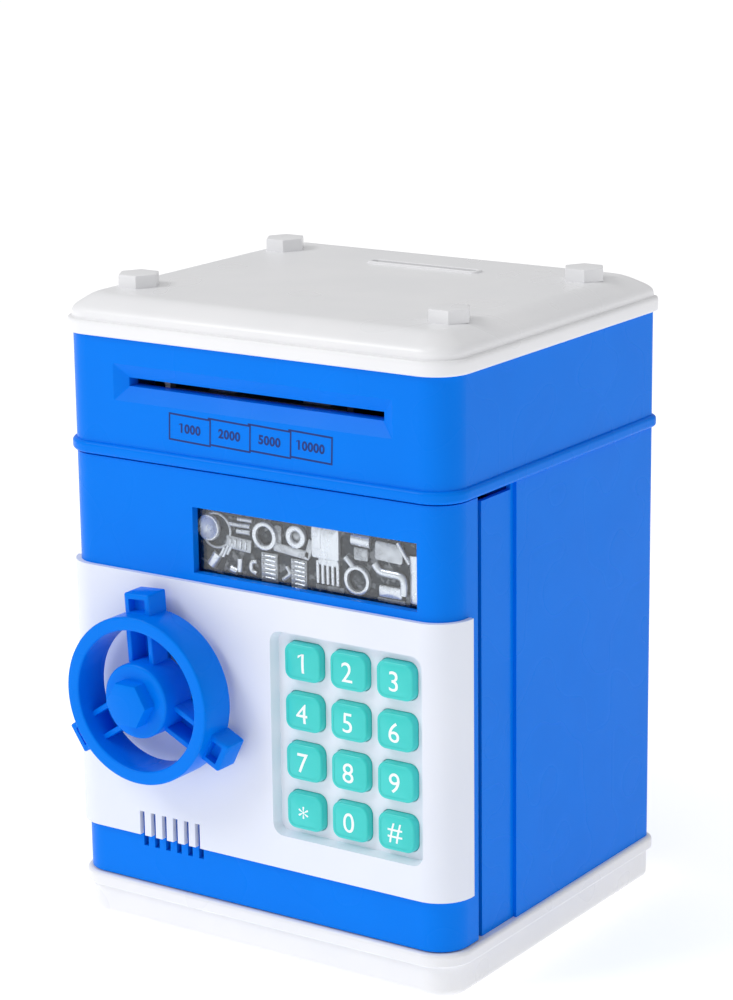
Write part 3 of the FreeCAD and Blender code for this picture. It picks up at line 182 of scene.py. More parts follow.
def plated(name, bright, paintedShadeColour, roughness, high, low):
    # vacuum-metallised polystyrene: mirror-like high spots, and painted shade in patches deep in the relief,
    # darker and less mirror-like the deeper it lies;
    # high and low are y in millimetres, where the painted shade starts and where it is full
    material, tree, place = startMaterial(name)
    depth = addNode(tree, "ShaderNodeSeparateXYZ", links={0: place}).outputs["Y"]
    cloud = addNode(tree, "ShaderNodeTexNoise", {"Scale": perMetre(2.2), "Detail": 2.0}, {"Vector": place})
    shadeByDepth = addNode(
        tree, "ShaderNodeMapRange", {"From Min": high * mm, "From Max": low * mm, "To Max": 1.25},
        {"Value": depth},
    )
    patches = addNode(
        tree, "ShaderNodeMapRange", {"From Min": 0.36, "From Max": 0.54, "To Min": 0.6},
        {"Value": cloud.outputs["Fac"]},
    )
    # painted shade: the deeper the relief, the darker and less metallic it is, in cloudy patches
    paintedShade = addNode(
        tree, "ShaderNodeMath", {"operation": "MULTIPLY", "use_clamp": True},
        {0: shadeByDepth.outputs["Result"], 1: patches.outputs["Result"]},
    )
    tint = addNode(
        tree, "ShaderNodeMix", {"data_type": "RGBA", 6: hexColour(bright), 7: hexColour(paintedShadeColour)},
        {0: paintedShade.outputs[0]},
    )
    mirror = addNode(
        tree, "ShaderNodeMapRange", {"To Min": 0.6, "To Max": 0.1}, {"Value": paintedShade.outputs[0]}
    )
    ripple = addNode(tree, "ShaderNodeTexNoise", {"Scale": perMetre(1.4), "Detail": 1.0}, {"Vector": place})
    haze = addNode(
        tree, "ShaderNodeMapRange", {"To Min": roughness - 0.06, "To Max": roughness + 0.1},
        {"Value": cloud.outputs["Fac"]},
    )
    bumps = addNode(
        tree, "ShaderNodeBump", {"Strength": 0.25, "Distance": 0.2 * mm}, {"Height": ripple.outputs["Fac"]}
    )
    shader = addNode(
        tree, "ShaderNodeBsdfPrincipled", {"Specular IOR Level": 0.2},
        {"Base Color": tint.outputs[2], "Metallic": mirror.outputs["Result"],
         "Roughness": haze.outputs["Result"], "Normal": bumps.outputs["Normal"]},
    )
    finishMaterial(tree, shader)
    return material


def brushedMetal(name, colour, shade, roughness):
    # drawn or turned steel: fine lines a third of a millimetre apart, darker where oil stays
    material, tree, place = startMaterial(name)
    lines = addNode(tree, "ShaderNodeMapping", {"Scale": (0.15, 1.0, 1.0)}, {"Vector": place})
    scratch = addNode(
        tree, "ShaderNodeTexNoise", {"Scale": perMetre(0.35), "Detail": 3.0}, {"Vector": lines.outputs[0]}
    )
    stain = addNode(tree, "ShaderNodeTexNoise", {"Scale": perMetre(6.0)}, {"Vector": place})
    tint = addNode(
        tree, "ShaderNodeMix", {"data_type": "RGBA", 6: hexColour(colour), 7: hexColour(shade)},
        {0: stain.outputs["Fac"]},
    )
    gloss = addNode(
        tree, "ShaderNodeMapRange", {"To Min": roughness - 0.08, "To Max": roughness + 0.12},
        {"Value": scratch.outputs["Fac"]},
    )
    bumps = addNode(
        tree, "ShaderNodeBump", {"Strength": 0.15, "Distance": 0.05 * mm}, {"Height": scratch.outputs["Fac"]}
    )
    shader = addNode(
        tree, "ShaderNodeBsdfPrincipled", {"Metallic": 1.0},
        {"Base Color": tint.outputs[2], "Roughness": gloss.outputs["Result"],
         "Normal": bumps.outputs["Normal"]},
    )
    finishMaterial(tree, shader)
    return material


def clearSheet(name, colour):
    # clear polystyrene window: smooth, with faint moulding ripples and handling haze
    material, tree, place = startMaterial(name)
    ripple = addNode(tree, "ShaderNodeTexNoise", {"Scale": perMetre(14.0), "Detail": 1.0}, {"Vector": place})
    haze = addNode(
        tree, "ShaderNodeMapRange", {"From Min": 0.35, "From Max": 0.75, "To Min": 0.01, "To Max": 0.06},
        {"Value": ripple.outputs["Fac"]},
    )
    bumps = addNode(
        tree, "ShaderNodeBump", {"Strength": 0.02, "Distance": 0.2 * mm}, {"Height": ripple.outputs["Fac"]}
    )
    shader = addNode(
        tree, "ShaderNodeBsdfPrincipled",
        {"Base Color": hexColour(colour), "IOR": 1.5, "Transmission Weight": 1.0, "Specular IOR Level": 0.15},
        {"Roughness": haze.outputs["Result"], "Normal": bumps.outputs["Normal"]},
    )
    finishMaterial(tree, shader)
    return material


# Every finish by the record's slot. The numbers of a moulded one are its roughness and specular level, the size
# and depth of its grain, then the size and amount of its flow clouds, with sizes in millimetres.
finishes = {
    "white_plastic": moulded("glossWhiteAbs", "#F1F1F3", "#E9EAED", 0.30, 0.35, 0.7, 0.04),
    "blue_plastic": moulded("glossBlueAbs", "#007CF0", "#0076E8", 0.27, 0.06, 0.7, 0.04),
    "panel_plastic": moulded("satinWhiteAbs", "#EAEEF8", "#E3E8F4", 0.38, 0.3, 0.6, 0.06),
    "turquoise_plastic": moulded("satinTurquoiseAbs", "#3FD3CD", "#34C9C3", 0.34, 0.4, 0.5, 0.05, 8.0),
    "clear_plastic": clearSheet("clearPolystyrene", "#F7FBFF"),
    # the plated relief's dark second colour is painted shade in its recesses
    "plated_plastic": plated("vacuumPlatedPolystyrene", "#FCFDFE", "#06202E", 0.24, -52.45, -51.5),
    "grey_rubber": moulded("greySiliconeRubber", "#A6A9AB", "#979A9D", 0.62, 0.3, 0.25, 0.3, 3.0),
    "white_rubber": moulded("whiteSiliconeRubber", "#DAD9D2", "#CFCEC6", 0.6, 0.3, 0.3, 0.25, 5.0),
    "steel": brushedMetal("platedSteel", "#C4C5C7", "#A7A9AC", 0.3),
    "board_green": moulded("solderMaskBoard", "#1F6B3B", "#18592F", 0.35, 0.5, 1.2, 0.12, 3.5, 0.9),
    "black_plastic": moulded("mattBlackAbs", "#26272A", "#1E1F21", 0.5, 0.4, 0.3, 0.2),
    "grey_plastic": moulded("mattCharcoalAbs", "#2B2D30", "#232528", 0.55, 0.3, 0.4, 0.15),
    "acetal": moulded("naturalAcetal", "#E6E4DC", "#DCDACF", 0.4, 0.45, 0.5, 0.08),
    "cell_jacket": moulded("shrinkFilmJacket", "#2C6B49", "#235A3C", 0.25, 0.5, 1.5, 0.05, 6.0),
}
navyInk = moulded("navyPadPrintInk", "#0B2F7E", "#08286E", 0.5, 0.3, 0.2, 0.2, 1.5)
whiteInk = moulded("whitePadPrintInk", "#F8FCFC", "#EEF6F6", 0.45, 0.35, 0.2, 0.2, 1.5)
# dark steel whose colour paints the shade inside the bill slot
slotShadeSteel = brushedMetal("slotShadeDarkSteel", "#2A2B2D", "#1C1D1F", 0.45)

nodeSlots = {part["node"]: part["material_slot"] for part in frame["record"]["subparts"]}
for nodeName, thing in frame["nodes"].items():
    for slot in thing.material_slots:
        slot.material = finishes[nodeSlots[nodeName]]
# painted shade: the shafts and frame inside the bill slot get dark steel so that the slot reads dark
for nodeName in ("feed_shaft", "press_shaft", "feeder_frame"):
    frame["nodes"][nodeName].material_slots[0].material = slotShadeSteel
print("materials:", len(bpy.data.materials))


# shapes: rings lie in x and y and are stacked up z, or lie in x and z and are stacked towards the front
upward = np.array([[1, 0, 0], [0, 1, 0], [0, 0, 1]])
forward = np.array([[1, 0, 0], [0, 0, 1], [0, -1, 0]])


def stackedRings(halfU, halfV, radius, height, centre=(0, 0), axes=upward, steps=8):
    # row i is a rounded rectangle: for each corner, s(half - r) + r(cos t, sin t) over its own quarter
    # turn t; a radius may be given per row or per row and corner
    halfU, halfV, height = (np.asarray(part, float)[:, None, None] for part in (halfU, halfV, height))
    radius = np.asarray(radius, float)
    radius = np.broadcast_to(radius[:, None] if radius.ndim == 1 else radius, (len(halfU), 4))[:, :, None]
    centre = np.broadcast_to(np.asarray(centre, float), (len(halfU), 2))[:, None, None, :]
    signU = np.array([1, -1, -1, 1])[None, :, None]
    signV = np.array([1, 1, -1, -1])[None, :, None]
    turn = (np.arange(4)[:, None] + np.linspace(0, 1, steps + 1))[None] * math.pi / 2
    u = centre[..., 0] + signU * (halfU - radius) + radius * np.cos(turn)
    v = centre[..., 1] + signV * (halfV - radius) + radius * np.sin(turn)
    w = np.broadcast_to(height, u.shape)
    return (np.stack([u, v, w], -1) @ axes).reshape(len(halfU), -1, 3)


def easedRows(rows, steps=4):
    # rows are corners of a profile with a rounding in their last column: corner c becomes the curve
    # p(1-t)^2 + 2ct(1-t) + qt^2 between the points p and q that lie that far along its two sides,
    # where a side's length is the largest change of its last three columns
    rows = np.asarray(rows, float)
    kept, rounding = rows[:, :-1], rows[:, -1]
    before, after = np.roll(kept, 1, 0), np.roll(kept, -1, 0)
    t = np.linspace(0, 1, steps + 1)[None, :, None]

    def partway(neighbour):
        gap = np.abs(neighbour - kept)[:, -3:].max(1)
        return kept + (neighbour - kept) * np.minimum(rounding / np.maximum(gap, 1e-6), 0.5)[:, None]

    p, q, c = partway(before)[:, None], partway(after)[:, None], kept[:, None]
    eased = p * (1 - t) ** 2 + 2 * c * t * (1 - t) + q * t ** 2
    return eased.reshape(-1, kept.shape[1])


def turnedRings(profile, at, axes=forward, steps=40):
    # a turned shape: each (radius, height) of the profile becomes the circle r(cos t, sin t) at that height
    profile = np.asarray(profile, float)
    t = np.linspace(0, 2 * math.pi, steps, endpoint=False)
    circle = np.stack([np.cos(t), np.sin(t)], -1)
    uv = profile[:, None, :1] * circle[None] + np.asarray(at, float)
    w = np.broadcast_to(profile[:, None, 1:], uv.shape[:2] + (1,))
    return np.concatenate([uv, w], -1) @ axes


def pipeRings(path, radius, flatten=1.0, axes=forward, steps=14):
    # a round bar along a path in the ring plane: p(s) + r(n(s) cos t, flatten sin t), n across the path
    path = np.asarray(path, float)
    along = np.gradient(path[:, :2], axis=0)
    along /= np.linalg.norm(along, axis=1)[:, None]
    across = np.stack([-along[:, 1], along[:, 0]], -1)
    t = np.linspace(0, 2 * math.pi, steps, endpoint=False)
    radii = np.asarray(radius, float) * np.ones(len(path))
    uv = path[:, None, :2] + radii[:, None, None] * across[:, None] * np.cos(t)[None, :, None]
    w = path[:, None, 2:] + radii[:, None, None] * flatten * np.sin(t)[None, :, None]
    body = np.concatenate([uv, w], -1)
    ends = [np.broadcast_to(path[end], (1, steps, 3)) for end in (0, -1)]
    return np.concatenate([ends[0], body, ends[1]]) @ axes


def curve(points, count=16):
    # a smooth path through a few points, each span a Catmull-Rom cubic
    points = np.asarray(points, float)
    padded = np.concatenate([2 * points[:1] - points[1:2], points, 2 * points[-1:] - points[-2:-1]])
    s = np.linspace(0, len(points) - 1 - 1e-9, count)
    span = s.astype(int)
    t = (s - span)[:, None]
    a, b, c, d = (padded[span + shift] for shift in range(4))
    square, cube = 2 * a - 5 * b + 4 * c - d, 3 * b - a - 3 * c + d
    return 0.5 * (2 * b + (c - a) * t + square * t ** 2 + cube * t ** 3)


def gridMesh(grids, closed=False):
    # vertices and quads of ring grids whose columns wrap round, and whose rows do too when closed
    points, quads, start = [], [], 0
    for grid in grids:
        rows, columns = grid.shape[:2]
        index = start + np.arange(rows * columns).reshape(rows, columns)
        low = index if closed else index[:-1]
        high = np.roll(index, -1, 0) if closed else index[1:]
        quads.append(np.stack([low, np.roll(low, -1, 1), np.roll(high, -1, 1), high], -1).reshape(-1, 4))
        points.append(grid.reshape(-1, 3))
        start += rows * columns
    return np.concatenate(points), np.concatenate(quads)


def addPiece(name, points, faces, material, body, slotName, sharp=35.0):
    # one finished mesh in metres: doubles merged, poles closed, faces outwards, smooth up to the sharp angle
    mesh = bpy.data.meshes.new(name)
    mesh.from_pydata((points * mm).tolist(), [], faces.tolist() if isinstance(faces, np.ndarray) else faces)
    work = bmesh.new()
    work.from_mesh(mesh)
    bmesh.ops.remove_doubles(work, verts=work.verts, dist=0.002 * mm)
    bmesh.ops.dissolve_degenerate(work, edges=work.edges, dist=0.001 * mm)
    bmesh.ops.recalc_face_normals(work, faces=work.faces)
    work.to_mesh(mesh)
    work.free()
    mesh.shade_smooth()
    mesh.set_sharp_from_angle(angle=math.radians(sharp))
    piece = bpy.data.objects.new(name, mesh)
    bpy.context.scene.collection.objects.link(piece)
    mesh.materials.append(material)
    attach(piece, body)
    return piece


bodyOf = {nodeName: thing["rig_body"] for nodeName, thing in frame["nodes"].items()}


# lid
lid = {
    "halfWidth": 65.0, "halfDepth": 56.7,
    "coinSlot": (2.0, 30.0), "slotHalfLength": 18.0, "slotHalfWidth": 1.5, "slotRim": 1.1,
    # heights
    "lip": 171.1, "seat": 175.1, "rim": 179.3, "shoulder": 181.9, "top": 186.0, "slotTop": 186.7,
    "underTop": 183.6, "underShoulder": 180.8, "underSeat": 175.6,
}


def makeLid(size):
    # one closed skin: rounded rectangles follow the lid's section from its lip, over the rim, the drip edge,
    # the sloping shoulder and the top, into the coin slot and back along the inside; a level has its growth
    # past the cabinet's outline, its front and back corner radii, its height and its rounding
    width, depth = size["halfWidth"], size["halfDepth"]
    slotX, slotY = size["coinSlot"]
    slotU, slotV, rim = size["slotHalfLength"], size["slotHalfWidth"], size["slotRim"]

    def level(grow, front, back, z, rounding):
        return (0, 0, front, back, width + grow, depth + grow, z, rounding)

    def slotLevel(grow, corner, z, rounding):
        return (slotX, slotY, corner, corner, slotU + grow, slotV + grow, z, rounding)

    rows = easedRows([
        level(-2.6, 6.4, 0.6, size["lip"], 0.3), level(-2.6, 6.4, 0.6, size["seat"], 0.1),
        level(1.5, 10.5, 4.5, size["seat"], 0.7), level(1.5, 10.5, 4.5, size["rim"], 1.3),
        level(0.2, 9.0, 3.4, size["rim"], 0.35), level(0.2, 9.0, 3.6, size["shoulder"], 1.9),
        level(-5.8, 5.6, 5.0, size["top"], 2.4), level(-9.5, 4.0, 4.0, size["top"], 0.0),
        slotLevel(rim + 0.6, 1.9, size["top"], 0.0), slotLevel(rim, 1.6, size["top"], 0.25),
        slotLevel(rim, 1.6, size["slotTop"], 0.4), slotLevel(0.0, 1.2, size["slotTop"], 0.4),
        slotLevel(0.0, 1.2, size["underTop"], 0.1), level(-8.2, 5.0, 5.0, size["underTop"], 1.0),
        level(-2.7, 6.6, 3.0, size["underShoulder"], 0.5), level(-2.7, 6.6, 3.0, size["underSeat"], 0.1),
        level(-4.2, 4.8, 0.6, size["underSeat"], 0.1), level(-4.2, 4.8, 0.6, size["lip"], 0.3),
    ])
    x, y, front, back, halfU, halfV, z = rows.T
    corners = np.stack([back, back, front, front], -1)
    grid = stackedRings(halfU, halfV, corners, z, rows[:, :2], steps=10)
    points, quads = gridMesh([grid], closed=True)
    piece = addPiece("lid_cap", points, quads, finishes["white_plastic"], bodyOf["lid"], "white_plastic", 40)
    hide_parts("lid")


makeLid(lid)
print("lid made")


# keypad
keys = {
    "legends": {"1": "1", "2": "2", "3": "3", "4": "4", "5": "5", "6": "6", "7": "7", "8": "8", "9": "9",
                "star": "*", "0": "0", "hash": "#"},
    "crown": 0.55, "flange": 0.8, "flangeThick": 1.0, "corner": 2.7, "edge": 1.0, "draft": 0.15,
    # how far the side's end, the lip and the foot of the pillow lie behind the cap's front
    "sideDrop": 0.35, "lipDrop": 0.2, "faceDrop": 0.3, "lipWidth": 0.1,
    "legendHeight": 5.7, "legendProud": 0.04, "legendSunk": 0.16, "legendSlices": 9,
}


def lettering(text, height, weight=0.0, spacing=1.0, slices=0):
    # a word as points (across, up, side) about its own middle, with digits of that height; side is 1 on
    # its face and -1 on its back, and slices cuts it both ways so that it can follow a curved surface
    sizes = []
    for words in ("0", text):
        data = bpy.data.curves.new("lettering", "FONT")
        data.body, data.space_character, data.resolution_u = words, spacing, 6
        data.extrude, data.offset = 0.02, weight
        shown = bpy.data.objects.new("lettering", data)
        bpy.context.scene.collection.objects.link(shown)
        mesh = bpy.data.meshes.new_from_object(shown.evaluated_get(bpy.context.evaluated_depsgraph_get()))
        work = bmesh.new()
        work.from_mesh(mesh)
        for axis, step in [(axis, step) for axis in (0, 1) for step in range(1, slices)]:
            low, high = (pick(vert.co[axis] for vert in work.verts) for pick in (min, max))
            cutAt = Vector((0, 0, 0))
            cutAt[axis] = low + (high - low) * step / slices
            bmesh.ops.bisect_plane(
                work, geom=work.verts[:] + work.edges[:] + work.faces[:], plane_co=cutAt,
                plane_no=Vector((axis == 0, axis == 1, 0)),
            )
        work.to_mesh(mesh)
        work.free()
        flat = np.empty(len(mesh.vertices) * 3)
        mesh.vertices.foreach_get("co", flat)
        points, faces = flat.reshape(-1, 3), [list(face.vertices) for face in mesh.polygons]
        if words[0] == "1":
            # the typeface's 1 is a bare stroke, so it gets a flag
            left, top, tall = points[:, 0].min(), points[:, 1].max(), np.ptp(points[:, 1])
            flag = np.array([(0.1, 0.0), (-0.22, -0.24), (-0.22, -0.11), (0.02, 0.0)]) * tall + (left, top)
            sides = [np.c_[flag, np.full(4, depth)] for depth in (points[:, 2].min(), points[:, 2].max())]
            count = len(points)
            points = np.concatenate([points, *sides])
            ring = [(k, (k + 1) % 4) for k in range(4)]
            faces += [[count + k for k in (3, 2, 1, 0)], [count + 4 + k for k in range(4)]]
            faces += [[count + a, count + b, count + b + 4, count + a + 4] for a, b in ring]
        bpy.data.objects.remove(shown, do_unlink=True)
        bpy.data.meshes.remove(mesh)
        sizes.append(np.ptp(points[:, 1]))
    scale = height / sizes[0]
    middle = (points.max(0) + points.min(0)) / 2
    placed = (points - middle) * (scale, scale, 1)
    placed[:, 2] = np.sign(placed[:, 2])
    return placed, faces


def crownHeight(x, z, halfX, halfZ, crown):
    # the pillow's rise over its edge: crown(1 - max(|x|/a, |z|/b)^2)
    return crown * (1 - np.maximum(np.abs(x) / halfX, np.abs(z) / halfZ) ** 2)


def makeKey(name, legend, size):
    # cap: rings from the flange up the drafted side, round the edge, then a pillow face whose rings shrink
    # to a pole; the printed sign follows the pillow
    low, high = (np.array(corner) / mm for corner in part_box(name))
    centre = ((low[0] + high[0]) / 2, (low[2] + high[2]) / 2)
    outU, outV = (high[0] - low[0]) / 2, (high[2] - low[2]) / 2
    halfU, halfV = outU - size["flange"], outV - size["flange"]
    back, front = -high[1], -low[1]
    lip, foot = front - size["lipDrop"], front - size["faceDrop"]
    corner, edge, draft = size["corner"], size["edge"], size["draft"]
    side = easedRows([
        (corner, outU, outV, back, 0.1), (corner, outU, outV, back + size["flangeThick"], 0.1),
        (corner, halfU + draft, halfV + draft, back + size["flangeThick"], 0.1),
        (corner, halfU, halfV, front - size["sideDrop"], edge),
        (corner - edge, halfU - edge, halfV - edge, lip, 0.3),
        (corner - edge, halfU - edge - size["lipWidth"], halfV - edge - size["lipWidth"], lip, 0.0),
    ], 4)[5:-5]
    shrink = np.linspace(1, 0, 9)
    flat = np.array([corner - edge, halfU - edge, halfV - edge])
    rise = foot + size["crown"] * (1 - shrink ** 2)
    face = np.concatenate([shrink[:, None] * flat, rise[:, None]], 1)
    base = np.array([[0, 0, 0, back], [corner, outU, outV, back]])
    rows = np.concatenate([base, side, face])
    grid = stackedRings(rows[:, 1], rows[:, 2], rows[:, 0], rows[:, 3], centre, forward, 6)
    slotName = "turquoise_plastic"
    cap = addPiece(f"cap_{name}", *gridMesh([grid]), finishes[slotName], bodyOf[name], slotName, 50)
    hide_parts(name)
    outline, faces = lettering(legend, size["legendHeight"], slices=size["legendSlices"])
    rise = crownHeight(outline[:, 0], outline[:, 1], halfU - edge, halfV - edge, size["crown"])
    y = -(foot + rise + np.where(outline[:, 2] > 0, size["legendProud"], -size["legendSunk"]))
    points = np.stack([centre[0] + outline[:, 0], y, centre[1] + outline[:, 1]], -1)
    addPiece(f"legend_{name}", points, faces, whiteInk, bodyOf[name], slotName, 30)


for keyName, legend in keys["legends"].items():
    makeKey(f"key_{keyName}", legend, keys)
print("keys made")


# printed cards
cards = {
    "numbers": ("1000", "2000", "5000", "10000"), "left": -27.0, "pitch": 13.6, "width": 14.6,
    "high": 155.6, "low": 147.75, "line": 0.5, "lineEnd": 0.08, "tilt": -1.9,
    "digits": 2.7, "weight": 0.035, "spacing": 1.08, "face": -56.7, "film": 0.04,
}


def makeCards(size):
    # four line-drawn cards, each lying over the left end of the next: a card is thin bars turned by the tilt
    width, height, line = size["width"], size["high"] - size["low"], size["line"]
    tilt = math.radians(size["tilt"])
    turn = np.array([[math.cos(tilt), math.sin(tilt)], [-math.sin(tilt), math.cos(tilt)]])
    points, faces, start = [], [], 0
    top, bottom = -size["face"] + size["film"], -size["face"] - size["film"]
    overlap, corners = width - size["pitch"], [size["lineEnd"]] * 2
    for index, number in enumerate(size["numbers"]):
        across = size["left"] + index * size["pitch"] + width / 2
        middle = np.array([across, (size["high"] + size["low"]) / 2])
        bars = [
            (0, height / 2 - line / 2, width, line), (0, line / 2 - height / 2, width, line),
            (width / 2 - line / 2, 0, line, height - 2 * line),
        ]
        if index == 0:
            bars.append((line / 2 - width / 2, 0, line, height - 2 * line))
        else:
            bars[1] = (overlap / 2, line / 2 - height / 2, width - overlap, line)
        for x, z, wide, tall in bars:
            grid = stackedRings([wide / 2] * 2, [tall / 2] * 2, corners, [bottom, top], (x, z), forward, 2)
            flat = grid.copy()
            flat[..., [0, 2]] = (grid[..., [0, 2]] @ turn) + middle
            count = grid.shape[1]
            ringPoints, quads = gridMesh([flat])
            points.append(ringPoints)
            faces += (quads + start).tolist()
            faces += [list(range(start, start + count)), list(range(start + count, start + 2 * count))]
            start += len(ringPoints)
        outline, letters = lettering(number, size["digits"], size["weight"], size["spacing"])
        flat = (outline[:, :2] @ turn) + middle
        points.append(np.stack([flat[:, 0], -np.where(outline[:, 2] > 0, top, bottom), flat[:, 1]], -1))
        faces += [[start + corner for corner in face] for face in letters]
        start += len(outline)
    addPiece("note_cards", np.concatenate(points), faces, navyInk, bodyOf["upper_housing"], "blue_plastic")


makeCards(cards)
print("cards made")


# relief behind the window
relief = {
    "front": 52.9, "floor": 51.3, "back": 50.3, "rooted": 0.3,
    # places are across and up, a rise is over the floor: across, up, radius, rise
    "discs": [(-17.0, 123.2, 3.9, 1.5)],
    # across, up, outer radius, inner radius, rise, height of the middle
    "rings": [
        (-14.6, 122.6, 5.4, 4.5, 0.9, 0.0), (2.4, 123.4, 4.1, 2.7, 1.6, 0.1),
        (12.9, 124.6, 3.3, 1.6, 1.45, 0.5), (34.2, 126.5, 1.6, 0.9, 1.3, 0.4),
        (33.2, 115.2, 4.2, 3.0, 1.6, 0.15),
    ],
    # across, up, width, height, rise, corner radius, taper, tilt in degrees
    "blocks": [
        (-6.8, 119.7, 8.6, 3.8, 0.9, 0.3, 0.2, -4), (6.6, 124.2, 2.4, 5.4, 0.7, 0.6),
        (11.2, 120.2, 12.0, 2.6, 0.9, 0.3, 0.2, -6), (17.2, 121.6, 2.0, 5.6, 0.9, 0.3, 0.2, -18),
        (3.6, 114.4, 5.6, 8.4, 0.8, 0.3), (13.6, 114.0, 5.4, 8.4, 0.8, 0.3),
        (22.8, 124.2, 9.0, 9.0, 1.3, 0.6, 0.3), (20.2, 125.4, 2.4, 6.4, 1.5, 0.3, 0.1),
        (23.6, 119.0, 6.6, 2.4, 1.1, 0.8, 0.3), (23.6, 111.3, 9.4, 1.6, 0.5, 0.3),
        (34.2, 122.6, 4.6, 3.6, 0.8, 0.5, 0.3), (43.4, 124.4, 9.0, 5.4, 0.9, 0.8, 0.3, -3),
        (44.0, 113.4, 7.4, 3.2, 1.2, 0.4, 0.2), (44.0, 110.9, 9.0, 1.2, 0.7, 0.3, 0.2),
        (49.2, 111.6, 1.4, 4.0, 0.5, 0.3),
    ],
    # places along the bar, radius, rise, flattening
    "bars": [
        ([(-7.1, 126.9), (-2.1, 126.9)], 0.75, 0.4), ([(-7.5, 123.3), (-2.9, 123.3)], 0.75, 0.4),
        ([(-9.9, 125.1), (-2.9, 125.1)], 0.75, 0.4), ([(-16.4, 112.4), (-14.0, 116.0)], 1.6, 0.5),
        ([(-6.6, 111.8), (-6.4, 115.6)], 0.9, 0.7), ([(-9.6, 112.2), (-7.4, 111.6)], 1.2, 0.5),
        ([(-0.6, 115.4), (-2.4, 115.0), (-2.6, 112.8), (-0.8, 112.0)], 0.7, 0.6),
        ([(8.2, 111.6), (10.4, 113.6), (9.4, 115.6)], 0.7, 0.5),
        ([(31.4, 126.6), (37.4, 126.4)], 1.9, 0.3, 0.7), ([(29.2, 121.2), (31.6, 118.8)], 0.85, 0.7),
        ([(38.6, 120.6), (40.8, 118.6), (46.6, 118.2), (48.0, 116.6), (48.0, 113.0)], 1.25, 0.4),
        ([(46.4, 127.6), (50.2, 122.2)], 0.6, 1.0),
        ([(51.6, 124.6), (52.0, 118.0), (51.8, 111.4)], 2.2, 0.0, 0.6),
    ],
    # the two toothed racks: across, width, top, teeth
    "racks": [(3.6, 5.6, 118.6, 6), (13.6, 5.4, 118.2, 7)], "rackPitch": 1.25,
    # the slotted block's ribs, the comb's prongs and the slanted rods, by their shift along the row
    "ribs": (-2.7, -0.9, 0.9, 2.7), "prongs": (0.0, 1.65, 3.3, 4.95, 6.6), "rods": (0.0, 1.5, 3.0),
}


def makeRelief(size):
    # a plate with turned rings, ribbed blocks and bars: all are ring grids stacked towards the front
    floor, root = size["floor"], size["floor"] - size["rooted"]
    low, high = (np.array(corner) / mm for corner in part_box("window_relief"))
    grids = []

    def block(x, z, width, height, rise, corner=0.4, taper=0.25, tilt=0.0):
        top = floor + rise
        u, v = width / 2, height / 2
        rows = np.array([
            (0, 0, 0, root), (u + taper, v + taper, corner, root), (u, v, corner, top - 0.25),
            (u - 0.07, v - 0.07, corner, top - 0.07), (u - 0.25, v - 0.25, max(corner - 0.2, 0.05), top),
            (0, 0, 0, top),
        ])
        grid = stackedRings(*rows.T, (0, 0), forward, 3)
        turn = math.radians(tilt)
        flat = grid.copy()
        flat[..., 0] = grid[..., 0] * math.cos(turn) - grid[..., 2] * math.sin(turn) + x
        flat[..., 2] = grid[..., 0] * math.sin(turn) + grid[..., 2] * math.cos(turn) + z
        grids.append(flat)

    def ring(x, z, outer, inner, rise, sink):
        top = floor + rise
        grids.append(turnedRings([
            (0, root), (outer + 0.15, root), (outer, top - 0.4), (outer - 0.12, top - 0.12),
            (outer - 0.4, top), (inner + 0.4, top), (inner + 0.12, top - 0.12), (inner, top - 0.4),
            (inner - 0.1, floor + sink), (inner * 0.5, floor + sink + 0.25), (0, floor + sink + 0.35),
        ], (x, z)))

    def disc(x, z, radius, rise):
        top = floor + rise
        grids.append(turnedRings([
            (0, root), (radius, root), (radius, top - 0.4), (radius - 0.3, top), (radius * 0.8, top),
            (radius * 0.74, top - 0.18), (0, top - 0.1),
        ], (x, z)))

    def bar(points, radius, rise, flatten=0.8):
        path = curve([(x, z, floor + rise) for x, z in points])
        grids.append(pipeRings(path, radius, flatten))

    halfX, halfZ = (high[0] - low[0]) / 2, (high[2] - low[2]) / 2
    middle = ((high[0] + low[0]) / 2, (high[2] + low[2]) / 2)
    back = size["back"]
    plate = np.array([
        (0, 0, 0, back), (halfX, halfZ, 0.3, back), (halfX, halfZ, 0.3, floor), (0, 0, 0, floor),
    ])
    grids.append(stackedRings(*plate.T, middle, forward, 3))
    for make, kind in ((disc, "discs"), (ring, "rings"), (block, "blocks"), (bar, "bars")):
        for numbers in size[kind]:
            make(*numbers)
    for x, width, top, teeth in size["racks"]:
        for step in range(teeth):
            z = top - 0.8 - step * size["rackPitch"]
            bar([(x - width * 0.2, z), (x + width * 0.42, z - 0.15)], 0.34, 0.95)
            block(x - width * 0.38, z, 0.7, 0.6, 1.1, 0.15, 0.05)
    for shift in size["ribs"]:
        block(-6.8 + shift, 119.7 - 0.06 * shift, 0.55, 2.6, 1.35, 0.2, 0.0, -4)
    for shift in size["prongs"]:
        bar([(20.0 + shift, 119.0), (20.1 + shift, 112.6)], 0.55, 0.75)
    for shift in size["rods"]:
        bar([(-13.8 + shift, 114.4 + shift * 0.6), (-11.8 + shift, 118.2 + shift * 0.5)], 0.5, 0.7)
    points, quads = gridMesh(grids)
    # what would stand out of the moulding, past its front plane or its plate, is held in
    lowest, highest = (low[0], -size["front"], low[2]), (high[0], -back, high[2])
    piece = addPiece(
        "window_machinery", np.clip(points, lowest, highest), quads, finishes["plated_plastic"],
        bodyOf["window_relief"], "plated_plastic", 40,
    )
    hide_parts("window_relief")


makeRelief(relief)
print("relief made")


